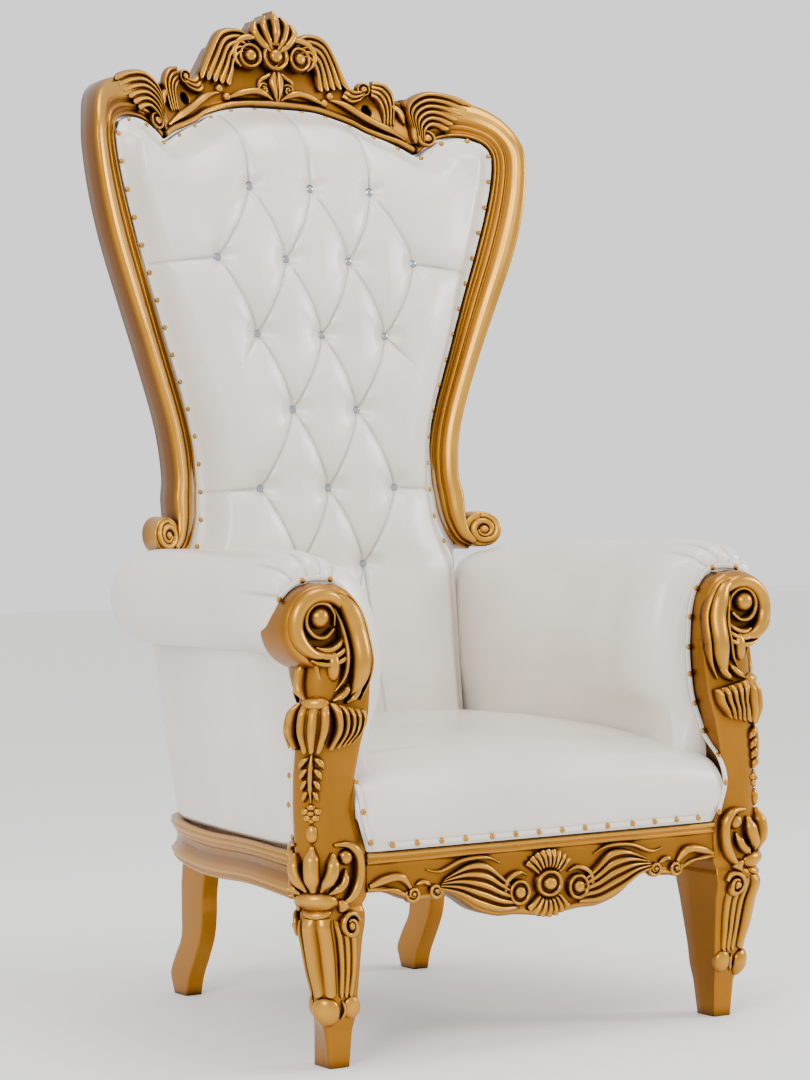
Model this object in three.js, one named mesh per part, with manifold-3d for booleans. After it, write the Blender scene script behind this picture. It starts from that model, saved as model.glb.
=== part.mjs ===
// High-backed throne chair: a carved, gilded hardwood frame with upholstered seat, arms and back.
// Millimetres, +Z up. While the pieces are made, y = 0 is the front of the front feet and the
// chair faces -Y; the finished group is moved so that its origin is the centre of its footprint.

import * as THREE from 'three';
import { mergeVertices } from 'three/addons/utils/BufferGeometryUtils.js';
import Module from 'manifold-3d';

const wasm = await Module();
wasm.setup();

// ---- driving dimensions ----
const JOINT_GAP = 0.3; // between pieces that meet face to face
const PAD_GAP = 1.5; // between upholstery and the wood beside it

const BACK_START_Y = 629; // where the back's front face would meet the floor
const BACK_RAKE = 0.112; // backward lean for each millimetre of height
const BACK_BARREL = 1400; // how strongly the sides of the back curl forward
const BACK_FRAME_DEPTH = 52;
const CORNER_SET_BACK = 26;

const RAIL_TOP = 335;
const RAIL_FACE_Y = -28;
const RAIL_THICKNESS = 34;
const POST_INNER_X = 341; // flat inner side of the corner block that the rails butt against
const POST_BLOCK_BACK_Y = 94;
const SCROLL = { x: 410, z: 688, radius: 67, front: -20, back: 58 };

const ARM_ROLL_Z = 724;
const SEAT_HEIGHT = 500;
const SEAT_BACK_Y = 596;
const CREST_JOINT_X = 262; // where the crest rail is joined to the corner of each stile

const BUTTON_RADIUS = 8;
const BUTTON_ROWS = [
  { z: 1454, face: 695, xs: [-127, 0, 127] },
  { z: 1323, face: 673, xs: [-206, -66, 66, 206] },
  { z: 1187, face: 661, xs: [-134, 0, 134] },
  { z: 1051, face: 655, xs: [-67, 67] },
  { z: 909, face: 648, xs: [-141, 0, 141] },
  { z: 770, face: 641, xs: [-67, 67] },
];

// ---- materials ----
function gilding() {
  return new THREE.MeshStandardMaterial({ color: 0xc08a3e, roughness: 0.36, metalness: 0.9 });
}

function pearlVinyl() {
  return new THREE.MeshStandardMaterial({ color: 0xe6e1db, roughness: 0.42, metalness: 0 });
}

function crystal() {
  return new THREE.MeshStandardMaterial({ color: 0xdfe6ea, roughness: 0.05, metalness: 0.3 });
}

// ---- solids ----
const SPECK = 0.12; // shortest edge kept after a join
const SLIVER = 0.1; // least height of a face kept after a join

function vec(x, y, z) {
  return new THREE.Vector3(x, y, z);
}

function curve2(points) {
  return new THREE.SplineCurve(points.map(([a, b]) => new THREE.Vector2(a, b)));
}

// The value b of a curve of [a, b] points at a given a, the points running upwards in a.
function valueAt(points, a) {
  const last = points.length - 1;
  if (a <= points[0][0]) return points[0][1];
  if (a >= points[last][0]) return points[last][1];
  const i = points.findIndex((point) => point[0] > a);
  const before = points[Math.max(i - 2, 0)][1];
  const start = points[i - 1][1];
  const end = points[i][1];
  const after = points[Math.min(i + 1, last)][1];
  const t = (a - points[i - 1][0]) / (points[i][0] - points[i - 1][0]);
  const slopeIn = (end - before) / 2;
  const slopeOut = (after - start) / 2;
  return THREE.MathUtils.lerp(start, end, t * t * (3 - 2 * t))
    + t * (1 - t) * ((1 - t) * slopeIn - t * slopeOut) * 0.8;
}

function volumeOf(geometry) {
  const position = geometry.getAttribute('position');
  const index = geometry.getIndex();
  const [a, b, c] = [vec(), vec(), vec()];
  let volume = 0;
  for (let i = 0; i < index.count; i += 3) {
    a.fromBufferAttribute(position, index.getX(i));
    b.fromBufferAttribute(position, index.getX(i + 1));
    c.fromBufferAttribute(position, index.getX(i + 2));
    volume += a.dot(b.cross(c)) / 6;
  }
  return volume;
}

function flipFaces(geometry) {
  const index = geometry.getIndex().array;
  for (let i = 0; i < index.length; i += 3) {
    [index[i], index[i + 1]] = [index[i + 1], index[i]];
  }
  return geometry;
}

function geometryOf(positions, index) {
  const geometry = new THREE.BufferGeometry();
  geometry.setAttribute('position', new THREE.Float32BufferAttribute(positions, 3));
  geometry.setIndex(index);
  return volumeOf(geometry) < 0 ? flipFaces(geometry) : geometry;
}

// Closed body through rings with equal numbers of points, each end closed by a fan.
function loft(rings) {
  const count = rings[0].length;
  const positions = rings.flat().flatMap((point) => point.toArray());
  const index = [];
  for (let i = 0; i + 1 < rings.length; i += 1) {
    for (let j = 0; j < count; j += 1) {
      const a = i * count + j;
      const b = i * count + ((j + 1) % count);
      index.push(a, b, a + count, b, b + count, a + count);
    }
  }
  for (const end of [0, rings.length - 1]) {
    const centre = vec(0, 0, 0);
    rings[end].forEach((point) => centre.addScaledVector(point, 1 / count));
    const hub = positions.length / 3;
    positions.push(...centre.toArray());
    for (let j = 0; j < count; j += 1) {
      const a = end * count + j;
      const b = end * count + ((j + 1) % count);
      index.push(hub, end === 0 ? b : a, end === 0 ? a : b);
    }
  }
  return geometryOf(positions, index);
}

// Closed slab between two grids of points with equal rows and columns.
function slab(frontGrid, backGrid) {
  const rows = frontGrid.length;
  const columns = frontGrid[0].length;
  const positions = [...frontGrid.flat(), ...backGrid.flat()].flatMap((point) => point.toArray());
  const behind = rows * columns;
  const index = [];
  const quad = (a, b, c, d) => index.push(a, b, c, a, c, d);
  for (let i = 0; i + 1 < rows; i += 1) {
    for (let j = 0; j + 1 < columns; j += 1) {
      const a = i * columns + j;
      quad(a, a + 1, a + columns + 1, a + columns);
      quad(behind + a, behind + a + columns, behind + a + columns + 1, behind + a + 1);
    }
  }
  for (let j = 0; j + 1 < columns; j += 1) {
    const top = (rows - 1) * columns + j;
    quad(j + 1, j, behind + j, behind + j + 1);
    quad(top, top + 1, behind + top + 1, behind + top);
  }
  for (let i = 0; i + 1 < rows; i += 1) {
    const left = i * columns;
    const right = left + columns - 1;
    quad(left, left + columns, behind + left + columns, behind + left);
    quad(right + columns, right, behind + right, behind + right + columns);
  }
  return geometryOf(positions, index);
}

function toSolid(geometry) {
  const bare = geometry.clone();
  bare.deleteAttribute('normal');
  bare.deleteAttribute('uv');
  const merged = mergeVertices(bare, 1e-3);
  if (volumeOf(merged) < 0) flipFaces(merged);
  return new wasm.Manifold(new wasm.Mesh({
    numProp: 3,
    vertProperties: new Float32Array(merged.getAttribute('position').array),
    triVerts: new Uint32Array(merged.getIndex().array),
  }));
}

// Faces left when points closer together than SPECK become one point.
function withoutSpecks(position, faces) {
  const merged = new Map();
  const resolve = (i) => (merged.has(i) ? resolve(merged.get(i)) : i);
  const [from, to] = [vec(), vec()];
  for (let i = 0; i < faces.length; i += 1) {
    const a = faces[i];
    const b = faces[i % 3 === 2 ? i - 2 : i + 1];
    const apart = from.fromBufferAttribute(position, a).distanceTo(to.fromBufferAttribute(position, b));
    if (apart < SPECK && resolve(a) !== resolve(b)) merged.set(resolve(a), resolve(b));
  }
  const kept = [];
  for (let i = 0; i < faces.length; i += 3) {
    const face = [resolve(faces[i]), resolve(faces[i + 1]), resolve(faces[i + 2])];
    if (new Set(face).size === 3) kept.push(...face);
  }
  return kept;
}

// Turns the long edge of each sliver, a face whose third point lies almost on that edge, across the
// face beside it. Returns the number of edges turned.
function turnSlivers(position, faces) {
  const name = (a, b) => `${a} ${b}`;
  const owner = new Map();
  for (let i = 0; i < faces.length; i += 3) {
    for (let k = 0; k < 3; k += 1) owner.set(name(faces[i + k], faces[i + ((k + 1) % 3)]), i);
  }
  const point = (i) => vec().fromBufferAttribute(position, i);
  const touched = new Set();
  for (let i = 0; i < faces.length; i += 3) {
    const turns = [0, 1, 2].map((k) => [faces[i + k], faces[i + ((k + 1) % 3)], faces[i + ((k + 2) % 3)]]);
    const sized = turns.map((turn) => [point(turn[0]).distanceTo(point(turn[1])), turn]);
    const [length, [a, b, c]] = sized.reduce((best, next) => (next[0] > best[0] ? next : best));
    const area = point(b).sub(point(a)).cross(point(c).sub(point(a))).length();
    const beside = owner.get(name(b, a));
    if (area > SLIVER * length || touched.has(i) || touched.has(beside)) continue;
    const d = [0, 1, 2].map((k) => faces[beside + k]).find((corner) => corner !== a && corner !== b);
    if (owner.has(name(c, d)) || owner.has(name(d, c))) continue;
    [faces[i], faces[i + 1], faces[i + 2]] = [a, d, c];
    [faces[beside], faces[beside + 1], faces[beside + 2]] = [d, b, c];
    touched.add(i).add(beside);
  }
  return touched.size / 2;
}

function toGeometry(solid) {
  const mesh = solid.getMesh();
  const geometry = new THREE.BufferGeometry();
  geometry.setAttribute('position', new THREE.BufferAttribute(mesh.vertProperties, 3));
  const position = geometry.getAttribute('position');
  const faces = withoutSpecks(position, mesh.triVerts);
  for (let pass = 0; pass < 8; pass += 1) {
    if (turnSlivers(position, faces) === 0) break;
  }
  geometry.setIndex(faces);
  return geometry;
}

function join(geometries) {
  return toGeometry(geometries.map(toSolid).reduce((whole, next) => whole.add(next)));
}

function cut(geometry, tools) {
  return toGeometry(tools.map(toSolid).reduce((rest, tool) => rest.subtract(tool), toSolid(geometry)));
}

function boxBetween(x0, x1, y0, y1, z0, z1) {
  const box = new THREE.BoxGeometry(x1 - x0, y1 - y0, z1 - z0);
  return box.translate((x0 + x1) / 2, (y0 + y1) / 2, (z0 + z1) / 2);
}

function mirrored(geometry) {
  return flipFaces(geometry.clone().scale(-1, 1, 1));
}

function bothSides(geometries) {
  return [...geometries, ...geometries.map(mirrored)];
}

// ---- carving ----
// Carving is drawn flat, in millimetres along a surface, and a place function lays it on the
// piece: place(a, b, lift) is the point at (a, b) on the surface, lifted off it.
const ROOT = -5; // how deep carving starts under the surface

// A ridge along points [a, b, lift]: widest in the middle and fading to its two ends.
function rib(place, points, width, height, fade = 0.4, steps = 4) {
  const path = curve2(points);
  const lifts = curve2(points.map(([, , lift = 0], i) => [i, lift]));
  const rings = [];
  for (let i = 0; i <= steps; i += 1) {
    const t = i / steps;
    const at = path.getPoint(t);
    const along = path.getTangent(t);
    const swell = fade + (1 - fade) * Math.sin(Math.PI * (0.1 + 0.8 * t));
    const half = 0.5 * width * swell;
    const lift = lifts.getPoint(t).y;
    rings.push([[-1, ROOT], [-0.45, lift + 0.8 * height * swell], [0.45, lift + 0.8 * height * swell],
      [1, ROOT]].map(([share, up]) => place(at.x - along.y * half * share, at.y + along.x * half * share, up)));
  }
  return loft(rings);
}

// A leaf or shell between two edges, each a list of [a, b] points, cut into flutes side by side.
function fluted(place, edgeA, edgeB, flutes, height, options = {}) {
  const { base = 1, steps = 4, fade = 0.3, root = ROOT } = options;
  const from = curve2(edgeA);
  const to = curve2(edgeB);
  const rings = [];
  for (let i = 0; i <= steps; i += 1) {
    const t = i / steps;
    const a = from.getPoint(t);
    const b = to.getPoint(t);
    const swell = fade + (1 - fade) * Math.sin(Math.PI * (0.1 + 0.8 * t));
    const ring = [place(a.x, a.y, root)];
    for (let k = 0; k <= 2 * flutes; k += 1) {
      const at = a.clone().lerp(b, k / (2 * flutes));
      ring.push(place(at.x, at.y, base + (k % 2 === 1 ? height * swell : 0)));
    }
    ring.push(place(b.x, b.y, root));
    rings.push(ring);
  }
  return loft(rings);
}

// A bead or bun, drawn a little larger so that its flat faces enclose the round one's bulk.
function ball(place, rx, ry = rx, rz = rx) {
  const round = new THREE.IcosahedronGeometry(1.08, 0).scale(rx, ry, rz);
  round.deleteAttribute('normal');
  round.deleteAttribute('uv');
  return mergeVertices(round.translate(place.x, place.y, place.z), 1e-3);
}

// A raised ring with a bead in its eye, facing forward: [bead radius, ring radius, rim radius].
function boss(place, [bead, ring, rim], height, squash = 1) {
  const profile = [[0, height], [bead * 0.8, height * 0.55], [bead, 0], [ring, height * 0.7], [rim, ROOT],
    [0, ROOT]];
  const turned = new THREE.LatheGeometry(profile.map(([r, h]) => new THREE.Vector2(r, h)), 9);
  return turned.rotateX(Math.PI).scale(1, 1, squash).translate(place.x, place.y, place.z);
}

// ---- the back's shape ----
// The front face of the back: raked and barrelled, its upper corners set back from the barrel.
function onBack(x, z, lift = 0) {
  const corner = THREE.MathUtils.smoothstep(Math.abs(x), 0, 200) * THREE.MathUtils.smoothstep(z, 1540, 1650);
  const y = BACK_START_Y + BACK_RAKE * z - (x * x) / BACK_BARREL + CORNER_SET_BACK * corner;
  return vec(x, y - lift, z);
}

// The stile's two edges as pairs [inner x, z, outer x, z], from the volute up and over the corner.
const STILE_EDGES = [
  [305, 792, 318, 812], [279, 806, 308, 832], [258, 846, 305, 862], [250, 888, 305, 895],
  [247, 935, 299, 930], [250, 990, 303, 990], [265, 1055, 316, 1050], [297, 1155, 349, 1150],
  [328, 1255, 386, 1250], [360, 1355, 422, 1350], [384, 1440, 443, 1435], [397, 1505, 452, 1515],
  [396, 1540, 447, 1562], [383, 1561, 430, 1603], [360, 1571, 404, 1629], [336, 1573, 370, 1643],
  [312, 1568, 334, 1649], [290, 1555, 296, 1652], [272, 1540, 262, 1648],
];

// Moulding of the stile: [share of the width from the inner edge, height forward].
const STILE_PROFILE = [[0, 3], [0.16, -1], [0.36, -1], [0.48, 8], [0.58, -1], [0.78, 12],
  [1, -14], [1, -BACK_FRAME_DEPTH - 8], [0, -BACK_FRAME_DEPTH]];

function stileBody() {
  const inner = curve2(STILE_EDGES.map(([x, z]) => [x, z]));
  const outer = curve2(STILE_EDGES.map(([, , x, z]) => [x, z]));
  const stations = 20;
  const rings = [];
  for (let i = 0; i <= stations; i += 1) {
    const a = inner.getPoint(i / stations);
    const b = outer.getPoint(i / stations);
    rings.push(STILE_PROFILE.map(([share, forward]) => {
      const at = a.clone().lerp(b, share);
      return onBack(at.x, at.y, forward);
    }));
  }
  return loft(rings);
}

function stileVolute() {
  const profile = [[0, 22], [13, 17], [17, 11], [24, 20], [32, 8], [32, -48], [0, -48]];
  const disc = new THREE.LatheGeometry(profile.map(([r, h]) => new THREE.Vector2(r, h)), 10);
  const centre = onBack(331, 829);
  return disc.rotateX(Math.PI).translate(centre.x, centre.y, centre.z);
}

// Leaf over the corner: five fingers fan from the little scroll at its inner end along the arch.
function cornerLeaf() {
  const upper = [[264, 1560], [262, 1630], [296, 1660], [340, 1656], [376, 1642]];
  const lower = [[276, 1556], [276, 1584], [292, 1596], [308, 1592], [318, 1582]];
  return [fluted(onBack, lower, upper, 4, 11, { base: 8, fade: 0.45, root: -24 }),
    boss(onBack(287, 1572, 8), [7, 14, 19], 8)];
}

function backStile() {
  const whole = join([stileBody(), stileVolute(), ...cornerLeaf()]);
  return cut(whole, [boxBetween(-100, CREST_JOINT_X + JOINT_GAP / 2, 0, 1200, 1400, 2000)]);
}

// ---- crest rail ----
// Half of the crest board: [distance from the middle, lower edge z, upper edge z].
const CREST_BOARD = [[0, 1617, 1768], [30, 1617, 1764], [62, 1616, 1751], [94, 1612, 1748],
  [118, 1606, 1734], [140, 1599, 1700], [160, 1591, 1672], [182, 1578, 1662], [210, 1566, 1668],
  [236, 1556, 1652], [CREST_JOINT_X - JOINT_GAP / 2, 1541, 1646]];

function crestBoard() {
  const whole = [...CREST_BOARD.slice(1).reverse().map(([x, low, high]) => [-x, low, high]), ...CREST_BOARD];
  return loft(whole.map(([x, low, high]) => [[low, -BACK_FRAME_DEPTH], [low, 2], [low + 5, 8],
    [low + 14, 1], [high, -5], [high, -BACK_FRAME_DEPTH + 6]].map(([z, lift]) => onBack(x, z, lift))));
}

function crestMiddle() {
  const palmette = fluted(onBack, [[-13, 1725], [-41, 1752], [-36, 1774], [-8, 1799]],
    [[13, 1725], [41, 1752], [36, 1774], [8, 1799]], 3, 12, { base: 3, steps: 3, fade: 0.4 });
  const pendant = rib(onBack, [[0, 1684, 3], [0, 1655, 8], [0, 1620, 2]], 30, 9, 0.2, 3);
  return [palmette, pendant, ...bothSides([ball(onBack(29, 1654, 3), 10, 8, 9)]),
    boss(onBack(0, 1715, 7), [13, 21, 28], 11)];
}

// Four long flutes sweep out and down from the volute beside the ring.
function crestScroll() {
  const upper = [[41, 1740], [72, 1762], [112, 1756], [138, 1716], [160, 1664]];
  const lower = [[62, 1716], [76, 1712], [82, 1694], [84, 1676], [86, 1656]];
  return [fluted(onBack, lower, upper, 3, 12, { base: 3, fade: 0.4 }),
    boss(onBack(56, 1712, 7), [14, 21, 28], 12)];
}

// Two small curled leaves step down from the scroll to the corner, over a double S-scroll bead.
function crestShoulder() {
  return [boss(onBack(192, 1666, 2), [7, 13, 19], 8),
    rib(onBack, [[148, 1656, 0], [168, 1640, 5], [204, 1650, 2]], 15, 8),
    fluted(onBack, [[204, 1652], [216, 1640], [220, 1600]], [[212, 1682], [246, 1664], [240, 1590]],
      2, 9, { base: 2, steps: 3 }),
    rib(onBack, [[6, 1630, 1], [42, 1642, 4], [102, 1625, 1]], 9, 5, 0.4, 3),
    rib(onBack, [[113, 1635, 0], [188, 1603, 4], [250, 1563, 3]], 12, 5, 0.4, 3)];
}

function crestRail() {
  const carved = join([crestBoard(), ...crestMiddle(),
    ...bothSides([...crestScroll(), ...crestShoulder()])]);
  const piercing = new THREE.CylinderGeometry(9, 9, 200, 7).scale(1, 1, 1.4);
  const centre = onBack(194, 1624);
  piercing.translate(centre.x, centre.y, centre.z);
  const beyond = boxBetween(CREST_JOINT_X - JOINT_GAP / 2, 500, 0, 1200, 1400, 2000);
  return cut(carved, bothSides([piercing, beyond]));
}

// ---- front leg and arm post, carved from one timber ----
// [height, inner x, outer x, outer x at the back, front y, back y, radius of the front corner]
const POST_SECTIONS = [
  [0, 360, 395, 395, 0, 49, 4], [58, 357, 402, 390, -5, 56, 10], [82, 354, 410, 388, -12, 61, 18],
  [118, 352, 412, 387, -13, 64, 22], [200, 348, 430, 393, -25, 80, 30], [228, 347, 439, 394, -33, 87, 34],
  [246, 346, 438, 394, -32, 90, 36], [255, 349, 430, 386, -26, 90, 34], [266, 341, 438, 385, -29, 94, 38],
  [336, 341, 441, 393, -30, 94, 40], [400, 360, 442, 398, -29, 100, 42], [455, 360, 441, 396, -29, 100, 42],
  [504, 349, 438, 389, -31, 97, 40], [550, 334, 434, 395, -32, 84, 38], [604, 328, 428, 397, -29, 66, 30],
  [640, 328, 424, 395, -26, 60, 26],
];

function postAt(height) {
  const last = POST_SECTIONS.length - 1;
  const above = POST_SECTIONS.findIndex((section) => section[0] > height);
  const i = above < 0 ? last : Math.max(above, 1);
  const [lower, upper] = [POST_SECTIONS[i - 1], POST_SECTIONS[i]];
  const t = (height - lower[0]) / (upper[0] - lower[0]);
  const [, inner, outer, outerBack, front, back, radius] = lower.map((value, k) => value + t * (upper[k] - value));
  return { inner, outer, outerBack, front, back, radius };
}

function postBody() {
  return loft(POST_SECTIONS.map(([z, inner, outer, outerBack, front, back, radius]) => {
    const ring = [vec(inner, back, z), vec(inner, front, z)];
    for (let i = 0; i <= 3; i += 1) {
      const angle = (Math.PI / 2) * (i / 3 - 1);
      ring.push(vec(outer - radius + radius * Math.cos(angle), front + radius + radius * Math.sin(angle), z));
    }
    ring.push(vec(outerBack, back, z));
    return ring;
  }));
}

// A place on the post's carved faces: s runs round from the outer front corner, to the front face
// where it is negative and to the outer side where it is positive.
function onPost(s, z, lift = 0) {
  const { outer, outerBack, front, back, radius } = postAt(z);
  const half = (radius * Math.PI) / 4;
  const round = THREE.MathUtils.clamp(s, -half, half);
  const angle = -Math.PI / 4 + round / radius;
  const normal = vec(Math.cos(angle), Math.sin(angle), 0);
  const point = vec(outer - radius, front + radius, z).addScaledVector(normal, radius + lift);
  const beyond = s - round;
  point.x += Math.min(beyond, 0);
  point.y += Math.max(beyond, 0);
  point.x -= (Math.max(beyond, 0) * (outer - outerBack)) / (back - front - radius);
  return point;
}

function postBall(s, z, lift, rx, rz = rx) {
  return ball(onPost(s, z, lift), rx, rx, rz);
}

// The same rib on both sides of the corner line.
function postPair(points, width, height, fade, steps) {
  return [1, -1].map((side) => rib(onPost, points.map(([s, z, lift]) => [side * s, z, lift]),
    width, height, fade, steps));
}

function mirrorS(edge) {
  return edge.map(([s, z]) => [-s, z]);
}

function ankle() {
  return [postBall(0, 91, -8, 24, 30), postBall(42, 96, -5, 19, 23), postBall(-42, 96, -5, 19, 23)];
}

function shin() {
  const edge = [[22, 236], [22, 180], [17, 118]];
  const volutes = [-1, 1].map((side) => postBall(side * 46, 228, -5, 16, 20));
  return [fluted(onPost, edge, mirrorS(edge), 3, 6, { steps: 2, fade: 0.8 }), ...volutes];
}

// C-scrolls frame a small palmette over a curled lip.
function cartouche() {
  const leaf = [[9, 282], [26, 318], [16, 348]];
  return [...postPair([[34, 346], [60, 330, 2], [58, 288, 2], [24, 266, 2]], 15, 8, 0.5, 3),
    ...[-1, 1].map((side) => postBall(side * 37, 342, 3, 11)),
    fluted(onPost, leaf, mirrorS(leaf), 3, 7, { steps: 3 }), postBall(0, 270, 0, 22, 14)];
}

// A hanging leaf and a small flower on the plain part of the post.
function pendant() {
  const leaf = [[5, 496], [18, 462], [5, 422]];
  return [fluted(onPost, leaf, mirrorS(leaf), 3, 4, { steps: 3, base: 0 }),
    postBall(0, 402, 0, 12, 11), postBall(0, 368, 0, 9, 15)];
}

// Fluted shell collar round the corner, under a long bead and a bun.
function collar() {
  const top = [[-70, 556], [-36, 562], [0, 566], [36, 562], [70, 556]];
  const bottom = [[-60, 512], [-34, 500], [0, 495], [34, 500], [60, 512]];
  const shell = [];
  for (let i = 0; i <= 6; i += 1) {
    const upper = curve2(top).getPoint(i / 6);
    const lower = curve2(bottom).getPoint(i / 6);
    shell.push([[upper, ROOT], [upper, 2], [upper.clone().lerp(lower, 0.5), i % 2 === 0 ? 8 : 15],
      [lower, 3], [lower, ROOT]].map(([at, lift]) => onPost(at.x, at.y, lift)));
  }
  return [loft(shell), rib(onPost, [[-10, 668], [-12, 630, 2], [-12, 586, 0]], 30, 8, 0.4, 3),
    postBall(-6, 574, -4, 21, 16)];
}

function scrollOutline() {
  const shape = new THREE.Shape();
  shape.moveTo(329, 590);
  shape.splineThru([[328, 640], [336, 705], [354, 738], [378, 753]]
    .map(([x, z]) => new THREE.Vector2(x, z)));
  shape.absarc(SCROLL.x, SCROLL.z, SCROLL.radius, Math.PI * 0.58, -Math.PI * 0.42, true);
  shape.lineTo(420, 590);
  shape.closePath();
  return shape;
}

function onScroll(x, z, lift = 0) {
  return vec(x, SCROLL.front - lift, z);
}

function armScroll() {
  const bevel = 12;
  const block = new THREE.ExtrudeGeometry(scrollOutline(), {
    depth: SCROLL.back - SCROLL.front - 2 * bevel, bevelThickness: bevel, bevelSize: bevel,
    bevelOffset: -bevel, bevelSegments: 1, curveSegments: 3,
  });
  block.rotateX(Math.PI / 2).translate(0, SCROLL.back - bevel, 0);
  const eye = { x: SCROLL.x + 6, z: SCROLL.z + 14 };
  const around = [0, 1, 2, 3, 4, 5].map((i) => {
    const angle = 2.2 + i * 0.85;
    const radius = 42 - 3 * i;
    return [eye.x + radius * Math.cos(angle), eye.z - 4 + radius * Math.sin(angle), 2];
  });
  return [block, ball(onScroll(eye.x, eye.z, 2), 17), rib(onScroll, around, 22, 10, 0.5, 6),
    rib(onScroll, [[352, 708, 2], [344, 660, 5], [356, 580, 2]], 38, 14, 0.25, 3)];
}

function frontPost() {
  return join([postBody(), ...armScroll(), ...ankle(), ...shin(), ...cartouche(), ...pendant(),
    ...collar()]);
}

// ---- rails and rear legs ----
// Half of the apron's lower edge: [distance from the middle, z].
const APRON_LOWER = [[0, 206], [60, 214], [98, 215], [138, 227], [172, 249], [198, 260],
  [226, 254], [258, 253], [284, 263], [312, 271], [POST_INNER_X - JOINT_GAP, 272]];

function onApron(x, z, lift = 0) {
  return vec(x, RAIL_FACE_Y - lift, z);
}

function apronBoard() {
  const whole = [...APRON_LOWER.slice(1).reverse().map(([x, z]) => [-x, z]), ...APRON_LOWER];
  return loft(whole.map(([x, low]) => [[low, -RAIL_THICKNESS], [low, 4], [RAIL_TOP - 18, 0],
    [RAIL_TOP - 11, 6], [RAIL_TOP, 3], [RAIL_TOP, -RAIL_THICKNESS]].map(([z, lift]) => onApron(x, z, lift))));
}

// Fan shells above and below the oval boss.
function apronShell() {
  const fan = (start, end, near, far, turn) => [near, far].map((reach) => [0, 1, 2, 3, 4].map((i) => {
    const angle = start + ((end - start) * i) / 4;
    return [reach * Math.cos(angle) * turn, 260 + reach * Math.sin(angle)];
  }));
  const shells = [fan(0.25 * Math.PI, 0.75 * Math.PI, 14, 56, 1), fan(-0.24 * Math.PI, -0.76 * Math.PI, 14, 59, 1)]
    .map(([inner, outer]) => loft(outer.map((at, i) => [[inner[i], ROOT], [inner[i], 3],
      [outer[i], i % 2 === 0 ? 10 : 5], [outer[i], ROOT]].map(([[x, z], lift]) => onApron(x, z, lift)))));
  return [...shells, boss(onApron(0, 260, 6), [14, 21, 28], 9, 0.85)];
}

// Volute, long fluted leaf and end curls on one side of the shell.
function apronLeaf() {
  const lower = [[56, 218], [98, 216], [140, 232], [178, 258], [214, 274]];
  const upper = [[76, 262], [100, 276], [120, 300], [150, 306], [196, 288]];
  return [fluted(onApron, lower, upper, 3, 8), boss(onApron(58, 250, 4), [9, 15, 22], 9),
    ball(onApron(214, 264, 4), 11), ball(onApron(259, 262, 3), 11),
    rib(onApron, [[258, 268, 2], [276, 290, 3], [338, 282, 2]], 15, 8, 0.6, 3)];
}

function frontRail() {
  const whole = join([apronBoard(), ...apronShell(), ...bothSides(apronLeaf())]);
  return cut(whole, bothSides([boxBetween(POST_INNER_X - JOINT_GAP, 500, -200, 200, 0, 500)]));
}

// Outer face of the side rail in plan, from the front post to the rounded rear corner.
const SIDE_RAIL_PLAN = [[405, POST_BLOCK_BACK_Y + JOINT_GAP], [397, 200], [381, 330], [361, 460],
  [339, 580], [316, 650], [286, 710], [242, 745]];
// Moulding of the side rail: [height over its lower edge as a share, height outward].
const SIDE_RAIL_PROFILE = [[0, 2], [0.1, 9], [0.22, 4], [0.36, 0], [0.68, 0], [0.8, 5], [0.92, 9], [1, 6]];
const SIDE_RAIL_THICKNESS = 30;

function sideRail() {
  const plan = curve2(SIDE_RAIL_PLAN);
  const stations = 11;
  const rings = [];
  for (let i = 0; i <= stations; i += 1) {
    const t = i / stations;
    const place = plan.getPoint(t);
    const tangent = i === 0 ? new THREE.Vector2(0, 1) : plan.getTangent(t);
    const outward = new THREE.Vector2(tangent.y, -tangent.x);
    const wave = 4 * Math.sin(2 * Math.PI * (1.6 * t - 0.1));
    const low = 258 + wave;
    const high = RAIL_TOP - 2 + 0.5 * wave;
    const ring = SIDE_RAIL_PROFILE.map(([share, lift]) => vec(place.x + outward.x * lift,
      place.y + outward.y * lift, low + share * (high - low)));
    const inner = place.clone().addScaledVector(outward, -SIDE_RAIL_THICKNESS);
    ring.push(vec(inner.x, inner.y, high), vec(inner.x, inner.y, low));
    rings.push(ring);
  }
  return loft(rings);
}

const BACK_RAIL = { reach: 220, front: 716, back: 744, bottom: 260 };

function backRail() {
  return boxBetween(-BACK_RAIL.reach, BACK_RAIL.reach, BACK_RAIL.front, BACK_RAIL.back,
    BACK_RAIL.bottom, RAIL_TOP - 2);
}

const REAR_LEG = { inner: 226, outer: 258, top: 250 };

// Sabre leg sawn from a board: straight down, then kicked back to a small square foot.
function rearLeg() {
  const shape = new THREE.Shape();
  const back = [[746, REAR_LEG.top], [754, 200], [755, 150], [758, 105], [783, 68], [800, 40], [798, 24], [787, 0]];
  const front = [[740, 0], [728, 34], [706, 70], [684, 110], [675, 150], [672, 190], [658, REAR_LEG.top]];
  shape.moveTo(...back[0]);
  shape.splineThru(back.slice(1).map(([y, z]) => new THREE.Vector2(y, z)));
  shape.lineTo(...front[0]);
  shape.splineThru(front.slice(1).map(([y, z]) => new THREE.Vector2(y, z)));
  shape.closePath();
  const board = new THREE.ExtrudeGeometry(shape, {
    depth: REAR_LEG.outer - REAR_LEG.inner, bevelEnabled: false, curveSegments: 2,
  });
  return join([board.rotateX(Math.PI / 2).rotateZ(Math.PI / 2).translate(REAR_LEG.inner, 0, 0)]);
}

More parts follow.
